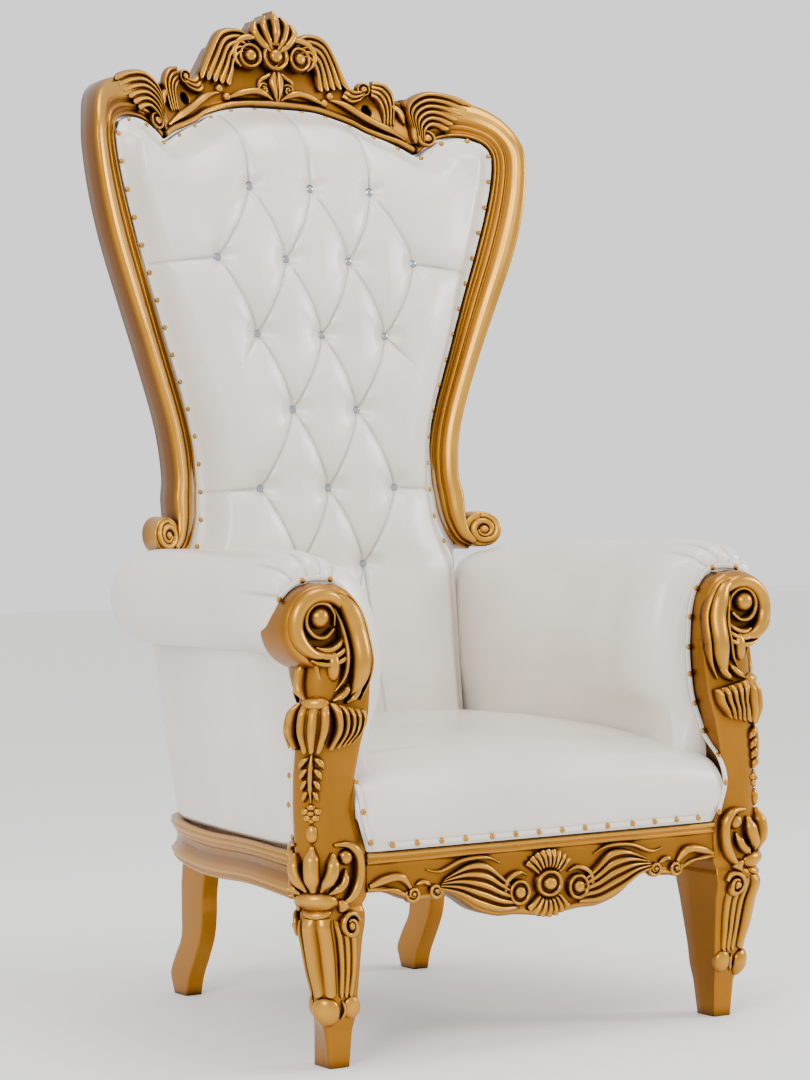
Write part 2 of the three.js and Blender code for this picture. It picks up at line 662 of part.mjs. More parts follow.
// ---- upholstery ----
// Closed pillow: a grid of points for the face, a rim behind its edge and a fan over the rim.
function pillow(grid, behind) {
  const rows = grid.length;
  const columns = grid[0].length;
  const loop = [];
  for (let j = 0; j < columns - 1; j += 1) loop.push(j);
  for (let i = 0; i < rows - 1; i += 1) loop.push(i * columns + columns - 1);
  for (let j = columns - 1; j > 0; j -= 1) loop.push((rows - 1) * columns + j);
  for (let i = rows - 1; i > 0; i -= 1) loop.push(i * columns);
  const face = grid.flat();
  const rim = loop.map((k) => behind(face[k]));
  const hub = vec(0, 0, 0);
  rim.forEach((point) => hub.addScaledVector(point, 1 / rim.length));
  const positions = [...face, ...rim, behind(hub)].flatMap((point) => point.toArray());
  const index = [];
  for (let i = 0; i + 1 < rows; i += 1) {
    for (let j = 0; j + 1 < columns; j += 1) {
      const a = i * columns + j;
      index.push(a, a + 1, a + columns + 1, a, a + columns + 1, a + columns);
    }
  }
  loop.forEach((k, n) => {
    const next = (n + 1) % loop.length;
    const back = face.length + n;
    const backNext = face.length + next;
    index.push(loop[next], k, back, loop[next], back, backNext);
    index.push(backNext, back, positions.length / 3 - 1);
  });
  return geometryOf(positions, index);
}

// Patch of [x, z] points between four border curves that meet at its corners.
function patch(bottom, top, left, right, columns, rows) {
  const corners = [bottom.getPoint(0), bottom.getPoint(1), top.getPoint(0), top.getPoint(1)];
  const points = [];
  for (let i = 0; i <= rows; i += 1) {
    const v = i / rows;
    const row = [];
    for (let j = 0; j <= columns; j += 1) {
      const u = j / columns;
      const point = bottom.getPointAt(u).multiplyScalar(1 - v).addScaledVector(top.getPointAt(u), v)
        .addScaledVector(left.getPointAt(v), 1 - u).addScaledVector(right.getPointAt(v), u);
      const weights = [(1 - u) * (1 - v), u * (1 - v), (1 - u) * v, u * v];
      weights.forEach((weight, k) => point.addScaledVector(corners[k], -weight));
      row.push(point);
    }
    points.push(row);
  }
  return points;
}

// Right-hand border of the upholstered back, inside the stile, and the border under the crest.
const BACK_SIDE = [[270, 345], [273, 560], [276, 730], [274, 776], [263, 808], [250, 850],
  [246, 890], [244, 935], [247, 990], [262, 1056], [294, 1156], [325, 1256], [357, 1356],
  [381, 1441], [393, 1506], [392, 1540], [380, 1558]];
const BACK_TOP = [[0, 1614], [45, 1614], [80, 1612], [117, 1603], [149, 1592], [177, 1577],
  [210, 1563], [235, 1550], [268, 1533], [288, 1548], [312, 1563], [336, 1569], [358, 1567],
  [380, 1558]];
// How far back the pad's face lies on the middle line, against height.
const BACK_FACE = [[345, 604], [500, 614], [600, 632], [770, 648], [909, 655], [1051, 662],
  [1187, 668], [1323, 680], [1454, 702], [1560, 736]];
const PAD_SHOULDER = 100; // width over which the pad swells from its border to its full height

function backPatch(columns, rows, inset = 0) {
  const mirror = (points) => points.map(([x, z]) => [-x, z]);
  const side = BACK_SIDE.map(([x, z]) => [x - inset, z]);
  const top = BACK_TOP.map(([x, z]) => [x === 380 ? x - inset : x, z - inset]);
  side[side.length - 1] = top[top.length - 1];
  const across = [...mirror(top.slice(1)).reverse(), ...top];
  const bottom = [[-side[0][0], side[0][1]], [0, side[0][1]], side[0]];
  return patch(curve2(bottom), curve2(across), curve2(mirror(side)), curve2(side), columns, rows);
}

function distanceToBorder(x, z) {
  const border = [...BACK_SIDE, ...BACK_TOP];
  return Math.min(...border.map(([bx, bz]) => Math.hypot(bx - Math.abs(x), bz - z)));
}

function backPad() {
  const border = 4;
  const grid = backPatch(13, 17).map((row) => row.map((point) => {
    const share = Math.min(distanceToBorder(point.x, point.y) / PAD_SHOULDER, 1);
    const swell = 1 - (1 - share) ** 2;
    const edge = onBack(point.x, point.y, border);
    const face = Math.min(valueAt(BACK_FACE, point.y), edge.y);
    return vec(point.x, THREE.MathUtils.lerp(edge.y, face, swell), point.y);
  }));
  return pillow(grid, (point) => onBack(point.x, point.z, -26));
}

// Plain cover of the back: thin inside the frame, and thick below it down to the seat frame.
function outsideBack() {
  const front = backPatch(6, 11, 6).map((row) => row.map((point) => {
    const widened = 1 + 0.06 * THREE.MathUtils.clamp((785 - point.y) / 70, 0, 1);
    return onBack(point.x * widened, point.y, -38);
  }));
  const back = front.map((row) => row.map((point) => {
    const upper = point.y + 12;
    const rounded = 44 * (Math.abs(point.x) / 290) ** 6;
    const lower = BACK_RAIL.back - 2 + 0.05 * (point.z - RAIL_TOP) - rounded;
    const y = point.z < 800 ? Math.max(lower, upper) : upper;
    return vec(point.x, y, point.z);
  }));
  return slab(front, back);
}

// Side view of the seat's skin [y, z], from the nailed front edge over the crown to the back.
const SEAT_SKIN = [[-34, 338], [-43, 366], [-44, 402], [-33, 436], [-6, 460], [52, 478], [95, 485],
  [190, 494], [320, 500], [450, SEAT_HEIGHT + 3], [SEAT_BACK_Y, SEAT_HEIGHT + 2]];
const SEAT_CORNER_Y = 97; // behind this line the seat narrows to pass between the arms
const SEAT_WAIST = 296; // half of its width between the arms

// The corners in front of the arms fill the hollow of the posts and fall away below the arms.
function seatPad() {
  const columns = 8;
  const grid = SEAT_SKIN.map(([y, z]) => {
    const narrow = y > SEAT_CORNER_Y - 3;
    const half = narrow ? SEAT_WAIST : postAt(z).inner - PAD_GAP;
    const row = [];
    for (let j = 0; j <= columns; j += 1) {
      const share = (2 * j) / columns - 1;
      const fall = y > SEAT_CORNER_Y ? 10 * share ** 4 : 26 * Math.abs(share) ** 3;
      row.push(vec(half * share, y, Math.max(z - fall, RAIL_TOP + 3)));
    }
    return row;
  });
  const reach = POST_INNER_X - PAD_GAP;
  return pillow(grid, (point) => vec(THREE.MathUtils.clamp(point.x, -reach, reach), point.y, RAIL_TOP + 1));
}

function railX(y) {
  return valueAt(SIDE_RAIL_PLAN.slice(0, 6).map(([x, along]) => [along, x]), y);
}

// Arm stations [y, middle of the roll, roll radius, innermost x].
const ARM_STATIONS = [[16, 408, 66, 300], [34, 406, 79, 272], [66, 405, 84, 257], [108, 404, 84, 260],
  [180, 403, 84, 272], [320, 400, 83, 281], [470, 396, 83, 281], [560, 389, 82, 280],
  [606, 380, 70, 280], [640, 366, 62, 282], [662, 352, 50, 288]];

function armSection([y, middle, radius, inner]) {
  const outer = railX(Math.max(y, POST_BLOCK_BACK_Y));
  const section = [[outer - 30, RAIL_TOP + 6], [outer - 12, 500], [outer + 8, 628]];
  for (let i = 0; i <= 5; i += 1) {
    const angle = THREE.MathUtils.degToRad(-68 + 32 * i);
    section.push([middle + radius * Math.cos(angle), ARM_ROLL_Z + radius * Math.sin(angle)]);
  }
  const top = ARM_ROLL_Z + radius;
  section.push([inner + 52, top - 38], [inner + 20, top - 84], [inner, 640], [inner + 6, 565], [Math.max(inner + 20, 300), 505], [300, RAIL_TOP + 6]);
  return section.map(([x, z]) => vec(x, y, z));
}

// Room for the arm post: everything outside its inner face, as far back as its back face.
function postClearance() {
  const rings = POST_SECTIONS.filter(([z]) => z > 300).map(([z, inner, , , , back]) => [
    vec(inner - PAD_GAP, -150, z), vec(600, -150, z), vec(600, back + PAD_GAP, z),
    vec(inner - PAD_GAP, back + PAD_GAP, z)]);
  const scroll = new THREE.ExtrudeGeometry(scrollOutline(), {
    depth: 150 + SCROLL.back, bevelThickness: PAD_GAP, bevelSize: PAD_GAP, bevelSegments: 1,
    curveSegments: 3,
  });
  scroll.rotateX(Math.PI / 2).translate(0, SCROLL.back, 0);
  return [loft(rings), scroll];
}

function armPad() {
  const underSeatCorner = boxBetween(180, 380, -150, SEAT_CORNER_Y + PAD_GAP, 300, 470);
  return cut(loft(ARM_STATIONS.map(armSection)), [...postClearance(), underSeatCorner]);
}

// Outer skin of the arm under its roll [height, distance out from the rail's face].
const SIDE_PANEL_SKIN = [[RAIL_TOP + 8, -3], [400, 5], [500, 19], [590, 28], [636, 43]];
const SIDE_PANEL_THICKNESS = 14;

function sidePanel() {
  const plan = curve2(SIDE_RAIL_PLAN);
  const rings = [0.02, 0.2, 0.4, 0.6, 0.74, 0.82].map((t) => {
    const place = plan.getPoint(t);
    const tangent = plan.getTangent(t);
    const skin = (inset) => SIDE_PANEL_SKIN.map(([z, out]) => vec(
      place.x + tangent.y * (out - inset), place.y - tangent.x * (out - inset), z));
    return [...skin(0), ...skin(SIDE_PANEL_THICKNESS).reverse()];
  });
  return cut(loft(rings), postClearance());
}

function crystalButton() {
  const profile = [[0, -3], [BUTTON_RADIUS, -3], [BUTTON_RADIUS, 0], [0, 5]];
  return new THREE.LatheGeometry(profile.map(([r, h]) => new THREE.Vector2(r, h)), 6).rotateX(Math.PI);
}

// ---- the chair ----
const throne = new THREE.Group();

function addPiece(name, geometry, material) {
  const mesh = new THREE.Mesh(geometry, material);
  mesh.name = name;
  throne.add(mesh);
  return mesh;
}

function addPair(name, geometry, material) {
  addPiece(`${name}_right`, geometry, material());
  addPiece(`${name}_left`, mirrored(geometry), material());
}

addPair('front_post', frontPost(), gilding);
addPiece('front_rail', frontRail(), gilding());
addPair('side_rail', sideRail(), gilding);
addPiece('back_rail', backRail(), gilding());
addPair('rear_leg', rearLeg(), gilding);
addPair('back_stile', backStile(), gilding);
addPiece('crest_rail', crestRail(), gilding());
addPiece('back_pad', backPad(), pearlVinyl());
addPiece('outside_back', outsideBack(), pearlVinyl());
addPiece('seat_pad', seatPad(), pearlVinyl());
addPair('arm_pad', armPad(), pearlVinyl);
addPair('side_panel', sidePanel(), pearlVinyl);

let buttonCount = 0;
for (const { z, face, xs } of BUTTON_ROWS) {
  for (const x of xs) {
    buttonCount += 1;
    const name = `crystal_button_${String(buttonCount).padStart(2, '0')}`;
    addPiece(name, crystalButton(), crystal()).position.set(x, face, z);
  }
}

const footprint = new THREE.Box3().setFromObject(throne);
throne.position.y = -(footprint.min.y + footprint.max.y) / 2;

export default throne;
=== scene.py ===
# The looks of a high-backed throne chair: carved and gilded wood, pearl vinyl, nails and crystals.
# Carving is worked out in millimetres in the chair's drawing frame, where y = 0 is the front of the
# front feet, and laid on its piece in metres.
import math

import bpy
import bmesh
import numpy as np
from mathutils import Matrix, Vector


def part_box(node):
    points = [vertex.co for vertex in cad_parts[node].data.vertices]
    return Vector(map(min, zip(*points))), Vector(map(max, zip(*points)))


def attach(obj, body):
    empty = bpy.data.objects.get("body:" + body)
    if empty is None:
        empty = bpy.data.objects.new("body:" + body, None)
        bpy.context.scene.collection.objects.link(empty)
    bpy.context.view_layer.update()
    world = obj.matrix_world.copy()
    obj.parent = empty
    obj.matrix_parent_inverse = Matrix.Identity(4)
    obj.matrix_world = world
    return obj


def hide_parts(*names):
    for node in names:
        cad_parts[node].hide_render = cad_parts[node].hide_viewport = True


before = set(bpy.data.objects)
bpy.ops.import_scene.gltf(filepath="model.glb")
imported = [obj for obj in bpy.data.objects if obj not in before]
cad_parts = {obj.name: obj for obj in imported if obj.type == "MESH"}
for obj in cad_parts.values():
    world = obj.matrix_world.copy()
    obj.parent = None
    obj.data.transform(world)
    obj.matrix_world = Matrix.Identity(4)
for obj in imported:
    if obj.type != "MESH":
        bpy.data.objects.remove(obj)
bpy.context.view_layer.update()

# ---- camera, floor and light ----
# The camera stands low, in front of the sitter's right hand and about 4.6 m away, on a pale floor
# among three softboxes.
BACK_RAIL_FRONT = 0.716
DRAWING_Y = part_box("back_rail")[0].y - BACK_RAIL_FRONT
CAMERA_AT = (-2.631, -3.808 + DRAWING_Y, 0.861)
CAMERA_HEADING, CAMERA_DIP, CAMERA_ROLL = -32.1, 0.54, -0.96
LENS_MM, SENSOR_MM = 95.03, 36.0
FLOOR_SIZE, WORLD_STRENGTH = 40, 1.3


def aim(heading, dip, roll):
    h, d, r = (math.radians(v) for v in (heading, dip, roll))
    ahead = Vector((-math.sin(h) * math.cos(d), math.cos(h) * math.cos(d), -math.sin(d)))
    level = Vector((math.cos(h), math.sin(h), 0))
    above = level.cross(ahead)
    right = math.cos(r) * level + math.sin(r) * above
    up = -math.sin(r) * level + math.cos(r) * above
    return Matrix((right, up, -ahead)).transposed().to_4x4()


camera_data = bpy.data.cameras.new("camera")
camera_data.sensor_fit = "VERTICAL"
camera_data.sensor_height = SENSOR_MM
camera_data.lens = LENS_MM
camera = bpy.data.objects.new("camera", camera_data)
camera.matrix_world = Matrix.Translation(CAMERA_AT) @ aim(CAMERA_HEADING, CAMERA_DIP, CAMERA_ROLL)
bpy.context.scene.collection.objects.link(camera)
bpy.context.scene.camera = camera


def colour(hex_code):
    """Linear red, green, blue, 1 of an sRGB hex code."""
    parts = [int(hex_code[i : i + 2], 16) / 255 for i in (1, 3, 5)]
    return (*[c / 12.92 if c <= 0.04045 else ((c + 0.055) / 1.055) ** 2.4 for c in parts], 1)


def material(name, **values):
    """A new material, its node tree and its Principled shader with those values."""
    made = bpy.data.materials.new(name)
    made.use_nodes = True
    shader = made.node_tree.nodes["Principled BSDF"]
    for key, value in values.items():
        shader.inputs[key].default_value = value
    return made, made.node_tree, shader


floor_material, _, floor_shader = material("pale studio floor", Roughness=0.75)
floor_shader.inputs["Base Color"].default_value = colour("#f6f5f3")
bpy.ops.mesh.primitive_plane_add(size=FLOOR_SIZE, location=(0, 0, 0))
floor = bpy.context.object
floor.name = "floor"
floor.data.materials.append(floor_material)

world = bpy.data.worlds.new("studio")
world.use_nodes = True
world.node_tree.nodes["Background"].inputs["Color"].default_value = colour("#ffffff")
world.node_tree.nodes["Background"].inputs["Strength"].default_value = WORLD_STRENGTH
bpy.context.scene.world = world

SOFTBOXES = [
    # name, place and size in metres, watts
    ("key softbox", (-3.2, -2.6, 2.9), 1.4, 105),
    ("side softbox", (3.4, -1.9, 2.2), 1.0, 75),
    ("top softbox", (0.3, -0.6, 4.2), 1.6, 60),
]
LIGHTS_AIM = Vector((0, 0, 0.9))
for light_name, place, size, watts in SOFTBOXES:
    light_data = bpy.data.lights.new(light_name, "AREA")
    light_data.size = size
    light_data.energy = watts
    light = bpy.data.objects.new(light_name, light_data)
    toward = LIGHTS_AIM - Vector(place)
    light.matrix_world = Matrix.Translation(place) @ toward.to_track_quat("-Z", "Y").to_matrix().to_4x4()
    bpy.context.scene.collection.objects.link(light)

# ---- the back's pad ----
# Foam under a diamond-tufted vinyl cover, tacked inside the frame: puffs between folds that run from
# button to button, with pleats out to the borders.
MM = 0.001
# The fold colour is painted shade, laid along the fold lines of the tufting and the pleats of the arms.
VINYL = {"shade": "#d8cfc4", "body": "#e6ded4", "fold_shade": "#6d6257"}
PEARL_CLOUDS = 5.0  # a cloud about every 200 mm
VINYL_GRAIN, VINYL_GRAIN_DEPTH = 900.0, 0.0004  # a pebble about every 1.1 mm, coarser than the real grain


def node(tree, kind, inputs=None, **settings):
    """Adds a shader node, with values or links for its named or numbered inputs."""
    made = tree.nodes.new(kind)
    for key, value in settings.items():
        setattr(made, key, value)
    for key, value in (inputs or {}).items():
        if isinstance(value, bpy.types.NodeSocket):
            tree.links.new(value, made.inputs[key])
        else:
            made.inputs[key].default_value = value
    return made


def pearl_vinyl():
    """Off-white vinyl with a pressed grain: a pearly sheen, faint clouding, and painted shade along the fold
    lines.
    """
    made, tree, shader = material("pearl vinyl", Roughness=0.34)
    shader.inputs["Coat Weight"].default_value = 0.45
    shader.inputs["Coat Roughness"].default_value = 0.28
    shader.inputs["Specular IOR Level"].default_value = 0.55
    place = node(tree, "ShaderNodeTexCoord")
    pearl = node(tree, "ShaderNodeTexNoise",
                 {"Vector": place.outputs["Object"], "Scale": PEARL_CLOUDS, "Detail": 3.0})
    ramp = node(tree, "ShaderNodeValToRGB", {"Fac": pearl.outputs["Fac"]})
    ramp.color_ramp.elements[0].position = 0.3
    ramp.color_ramp.elements[0].color = colour(VINYL["shade"])
    ramp.color_ramp.elements[1].position = 0.7
    ramp.color_ramp.elements[1].color = colour(VINYL["body"])
    # Painted shade in the folds: the crease value mixes the colour towards the fold colour.
    crease = node(tree, "ShaderNodeAttribute", attribute_name="crease")
    mix = {0: crease.outputs["Fac"], 6: ramp.outputs["Color"], 7: colour(VINYL["fold_shade"])}
    shaded = node(tree, "ShaderNodeMix", mix, data_type="RGBA")
    tree.links.new(shaded.outputs[2], shader.inputs["Base Color"])
    grain = node(tree, "ShaderNodeTexVoronoi", {"Vector": place.outputs["Object"], "Scale": VINYL_GRAIN})
    bump = node(tree, "ShaderNodeBump",
                {"Height": grain.outputs["Distance"], "Strength": 0.08, "Distance": VINYL_GRAIN_DEPTH})
    tree.links.new(bump.outputs["Normal"], shader.inputs["Normal"])
    return made


vinyl = pearl_vinyl()

BACK_START_Y, BACK_RAKE, BACK_BARREL, CORNER_SET_BACK = 629, 0.112, 1400, 26
CORNER_REACH, CORNER_HEIGHTS = 200, (1540, 1650)


def smoothstep(x, low, high):
    t = np.clip((np.asarray(x, float) - low) / (high - low), 0, 1)
    return t * t * (3 - 2 * t)


def spline_at(points, t):
    """Points of a smooth curve through the given ones, at shares t of its length in knots."""
    p = np.asarray(points, float)
    last = len(p) - 1
    along = np.clip(np.asarray(t, float), 0, 1) * last
    i = np.minimum(along.astype(int), last - 1)
    f = (along - i)[..., None]
    before, start, end, after = p[np.maximum(i - 1, 0)], p[i], p[i + 1], p[np.minimum(i + 2, last)]
    slope_in, slope_out = (end - before) / 2, (after - start) / 2
    return ((2 * start - 2 * end + slope_in + slope_out) * f**3
            + (3 * end - 3 * start - 2 * slope_in - slope_out) * f**2 + slope_in * f + start)


def even_curve(points, count):
    """Count points of the smooth curve, evenly spaced along it."""
    dense = spline_at(points, np.linspace(0, 1, 60 * len(points)))
    along = np.concatenate([[0], np.cumsum(np.linalg.norm(np.diff(dense, axis=0), axis=1))])
    at = np.linspace(0, along[-1], count)
    return np.stack([np.interp(at, along, dense[:, k]) for k in range(dense.shape[1])], axis=-1)


def on_back(x, z, lift=0):
    """The front face of the back, raked and barrelled, with its upper corners set back."""
    x, z = np.broadcast_arrays(np.asarray(x, float), np.asarray(z, float))
    corner = smoothstep(np.abs(x), 0, CORNER_REACH) * smoothstep(z, *CORNER_HEIGHTS)
    y = BACK_START_Y + BACK_RAKE * z - x * x / BACK_BARREL + CORNER_SET_BACK * corner
    return np.stack([x, y - lift, z], axis=-1)


def grid_faces(rows, columns, first=0, around=False):
    """Quads of a grid of points; around joins the last column to the first."""
    wide = columns if around else columns - 1
    i, j = np.meshgrid(np.arange(rows - 1), np.arange(wide), indexing="ij")
    a = first + i * columns + j
    b = first + i * columns + (j + 1) % columns
    return np.stack([a, b, b + columns, a + columns], axis=-1).reshape(-1, 4).tolist()


def shell(front, back):
    """Points and faces of a closed body between a fine front grid and a back grid of as many columns."""
    rows, columns = front.shape[:2]
    behind = back.shape[0]
    points = np.concatenate([front.reshape(-1, 3), back.reshape(-1, 3)])
    base = rows * columns
    faces = grid_faces(rows, columns) + grid_faces(behind, columns, base)
    top, back_top = (rows - 1) * columns, base + (behind - 1) * columns
    for j in range(columns - 1):
        faces.append([j, base + j, base + j + 1, j + 1])
        faces.append([top + j, top + j + 1, back_top + j + 1, back_top + j])
    for column in (0, columns - 1):
        face = [i * columns + column for i in range(rows)]
        face += [base + i * columns + column for i in reversed(range(behind))]
        faces.append(face)
    return points, faces


def piece(name, points, faces, finish, *nodes, carving=None, crease=None, slot="gilding", smooth=True):
    """A mesh object at the origin from points in millimetres of the drawing frame. It rides on the
    chair and stands for the CAD nodes named."""
    at = np.asarray(points, float) * MM
    at[:, 1] += DRAWING_Y
    mesh = bpy.data.meshes.new(name)
    mesh.from_pydata(at.tolist(), [], faces)
    # The carving and fold values go into the finishes' colour: painted shade along the vinyl's folds, and on
    # the gold partly the real glaze and rubbing, partly painted shade and painted highlight.
    for label, values in (("carving", carving), ("crease", crease)):
        if values is not None:
            attribute = mesh.attributes.new(label, "FLOAT", "POINT")
            attribute.data.foreach_set("value", np.asarray(values, np.float32))
    work = bmesh.new()
    work.from_mesh(mesh)
    bmesh.ops.recalc_face_normals(work, faces=work.faces)
    work.to_mesh(mesh)
    work.free()
    mesh.polygons.foreach_set("use_smooth", [smooth] * len(mesh.polygons))
    mesh.materials.append(finish)
    made = bpy.data.objects.new(name, mesh)
    bpy.context.scene.collection.objects.link(made)
    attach(made, "root")
    if nodes:
        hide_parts(*nodes)
    return made


def mirror_points(points):
    return np.asarray(points, float) * np.array([-1, 1, 1])


BUTTON_ROWS = [(1454, 695, (-127, 0, 127)), (1323, 673, (-206, -66, 66, 206)), (1187, 661, (-134, 0, 134)),
               (1051, 655, (-67, 67)), (909, 648, (-141, 0, 141)), (770, 641, (-67, 67))]
BACK_SIDE = [(270, 345), (273, 560), (276, 730), (274, 776), (263, 808), (250, 850), (246, 890),
             (244, 935), (247, 990), (262, 1056), (294, 1156), (325, 1256), (357, 1356), (381, 1441),
             (393, 1506), (392, 1540), (380, 1558)]
BACK_TOP = [(0, 1614), (45, 1614), (80, 1612), (117, 1603), (149, 1592), (177, 1577), (210, 1563),
            (235, 1550), (268, 1533), (288, 1548), (312, 1563), (336, 1569), (358, 1567), (380, 1558)]
TUFT_FLOOR = [(345, 596), (500, 606), (600, 625), (770, 644), (909, 651), (1051, 658), (1187, 664),
              (1323, 676), (1454, 698), (1560, 735), (1620, 745)]
PAD_SHOULDER, PAD_EDGE_LIFT, PAD_DEPTH = 100, 4, 24
PUFF, PUFF_REACH, FOLD_RISE, FOLD_WIDTH, DIMPLE = 38, 45, 24, 26, 30
FOLD_LINE, FOLD_SHADE = 2.2, 0.55
PAD_GRID = (250, 380)


def back_patch(columns, rows, inset=0):
    """x and z of a grid that fills the opening of the back's frame."""
    side = np.array(BACK_SIDE, float) - (inset, 0)
    top = np.array(BACK_TOP, float) - (0, inset)
    top[-1] = side[-1]
    across = np.concatenate([(top[1:] * (-1, 1))[::-1], top])
    right, upper = even_curve(side, rows), even_curve(across, columns)
    left = right * (-1, 1)
    u, v = np.linspace(0, 1, columns)[None, :, None], np.linspace(0, 1, rows)[:, None, None]
    lower = np.stack([np.linspace(left[0, 0], right[0, 0], columns), np.full(columns, side[0, 1])], axis=-1)
    ruled = lower[None] * (1 - v) + upper[None] * v + left[:, None] * (1 - u) + right[:, None] * u
    corners = (left[0] * (1 - u) * (1 - v) + right[0] * u * (1 - v)
               + left[-1] * (1 - u) * v + right[-1] * u * v)
    grid = ruled - corners
    return grid[..., 0], grid[..., 1]


def border_distance(x, z):
    """How far each point of the back lies from the frame's inner edge."""
    border = np.concatenate([even_curve(BACK_SIDE, 400), even_curve(BACK_TOP, 400)])
    near = np.full(x.shape, 1e9)
    for bx, bz in border:
        near = np.minimum(near, (np.abs(x) - bx) ** 2 + (z - bz) ** 2)
    return np.sqrt(near)


def folds():
    """Folds as (x, z) to (x, z) with how much they rise at mid length and fade at the far end."""
    made = []
    for (z, _, xs), (below, _, lower) in zip(BUTTON_ROWS, BUTTON_ROWS[1:]):
        for x in xs:
            made += [((x, z), (other, below), 0) for other in lower if abs(other - x) < 90]
    for side in (-1, 1):
        made += [((side * 127, 1454), (side * 130, 1610), 0.1), ((side * 206, 1323), (side * 352, 1306), 0.2),
                 ((side * 141, 909), (side * 252, 903), 0.2), ((side * 134, 1187), (side * 205, 1105), 1),
                 ((side * 67, 770), (side * 74, 500), 0.2), ((side * 67, 770), (0, 640), 0)]
    made.append(((0, 1454), (0, 1620), 0.1))
    return made


def tufting(x, z):
    """Height of the vinyl over the buttons' level, and how much painted shade each point takes along the fold
    lines.
    """
    height, crease = np.full(x.shape, float(PUFF)), np.zeros(x.shape)
    for (x0, z0), (x1, z1), fade in folds():
        run = np.array([x1 - x0, z1 - z0], float)
        t = np.clip(((x - x0) * run[0] + (z - z0) * run[1]) / (run @ run), 0, 1)
        gap = np.hypot(x - x0 - t * run[0], z - z0 - t * run[1])
        arch = np.pi if fade == 0 else 0.5 * np.pi
        rise = FOLD_RISE * np.sin(arch * t) ** 0.7
        floor_height = rise + (PUFF - rise) * fade * smoothstep(t, 0.15, 1)
        away = 1 - np.exp(-((gap / FOLD_WIDTH) ** 0.72))
        height = np.minimum(height, floor_height + (PUFF - floor_height) * away)
        # A narrow line of painted shade along each fold, fading where the fold fades.
        line = np.exp(-((gap / FOLD_LINE) ** 2)) * (1 - fade * smoothstep(t, 0.2, 0.9))
        crease = np.maximum(crease, line)
    for z0, _, xs in BUTTON_ROWS:
        for x0 in xs:
            gap = np.hypot(x - x0, z - z0)
            height = np.minimum(height, PUFF * (1 - np.exp(-((gap / DIMPLE) ** 1.3))))
    return height, FOLD_SHADE * crease


def back_pad():
    """Points and faces of the pad, with how much painted shade each point takes along the folds."""
    x, z = back_patch(*PAD_GRID)
    near = border_distance(x, z)
    swell = 1 - (1 - np.clip(near / PAD_SHOULDER, 0, 1)) ** 2
    edge = on_back(x, z, PAD_EDGE_LIFT)[..., 1]
    level = np.interp(z, *np.array(TUFT_FLOOR, float).T)
    level = np.minimum(level, edge)
    height, crease = tufting(x, z)
    puffed = height * smoothstep(near, 0, PUFF_REACH)
    y = edge + (level - edge) * swell - puffed
    front = np.stack([x, y, z], axis=-1)
    rows = len(x)
    behind = [0, rows // 3, 2 * rows // 3, rows - 1]
    back = on_back(x[behind], z[behind], -PAD_DEPTH)
    points, faces = shell(front, back)
    return points, faces, np.concatenate([crease.ravel(), np.zeros(len(points) - crease.size)])


pad_points, pad_faces, pad_crease = back_pad()
pad = piece("back_upholstery", pad_points, pad_faces, vinyl, "back_pad", crease=pad_crease,
            slot="pearl_vinyl")

# ---- the crystal buttons ----
# Round faceted crystals held in bright metal cups. Each is pulled in at a meeting of the folds, so it
# sits at the bottom of a dimple.
CUP_SIDES, CRYSTAL_SIDES, CRYSTAL_TURN, BUTTON_SINK = 24, 10, 0.13, 1


def crystal_finishes():
    """Cut crystal as a bright grey mirror that takes the light in flats, and a plated metal cup."""
    clear, _, glass = material("clear crystal", Roughness=0.05, IOR=1.7, Metallic=0.65)
    glass.inputs["Base Color"].default_value = colour("#9aa1a8")
    bright, _, metal = material("bright silver cup", Metallic=1.0, Roughness=0.18)
    metal.inputs["Base Color"].default_value = colour("#55575a")
    return clear, bright


crystal, silver = crystal_finishes()
CUP = [(9.2, -2.9), (9.6, 0.5), (8.9, 2.9), (7.4, 2.2)]
CUT = [(7.6, 1.6), (7.5, 3.2), (4.9, 5.6), (2.7, 6.0)]


def turned(profile, x, y, z, sides, turn=0):
    """Rings round the -Y axis: [radius, height] pairs as points, with faces and two end caps."""
    angle = np.linspace(0, 2 * np.pi, sides, endpoint=False) + turn
    rings = [np.stack([x + r * np.cos(angle), np.full(sides, y - h), z + r * np.sin(angle)], axis=-1)
             for r, h in profile]
    faces = grid_faces(len(rings), sides, around=True)
    last = (len(rings) - 1) * sides
    return np.concatenate(rings), faces + [list(range(sides)), list(range(last, last + sides))]


button_number = 0
for row_z, face_y, row_xs in BUTTON_ROWS:
    for row_x in row_xs:
        button_number += 1
        label = f"{button_number:02d}"
        cup_points, cup_faces = turned(CUP, row_x, face_y + BUTTON_SINK, row_z, CUP_SIDES)
        piece(f"button_cup_{label}", cup_points, cup_faces, silver, slot=None)
        gem_points, gem_faces = turned(CUT, row_x, face_y + BUTTON_SINK, row_z, CRYSTAL_SIDES,
                                       CRYSTAL_TURN)
        piece(f"button_crystal_{label}", gem_points, gem_faces, crystal, f"crystal_button_{label}",
              slot="crystal", smooth=False)


# ---- the crest rail ----
# Board between the two corners with a rolled lower edge. On it stand the palmette, ring and volutes,
# the long acanthus leaves, the pendant leaf and the small curled leaves of the shoulders.
# The shade colour is painted shade for the narrow hollows. The other three run from the hollows of the
# carving to its ridges: partly the real brown glaze and rubbing, partly painted shade and painted highlight.
GOLD = {"shade": "#2e1603", "deep": "#6a3f0c", "body": "#a8701f", "wear_and_highlight": "#c8933a"}
GOLD_CLOUDS = 9.0  # a cloud about every 110 mm
BRUSH_GRAIN, BRUSH_GRAIN_DEPTH = 420.0, 0.0006  # a mark about every 2.4 mm, coarser than brushed paint
HOLLOW_REACH = 0.022  # hollows narrower than about this many metres darken


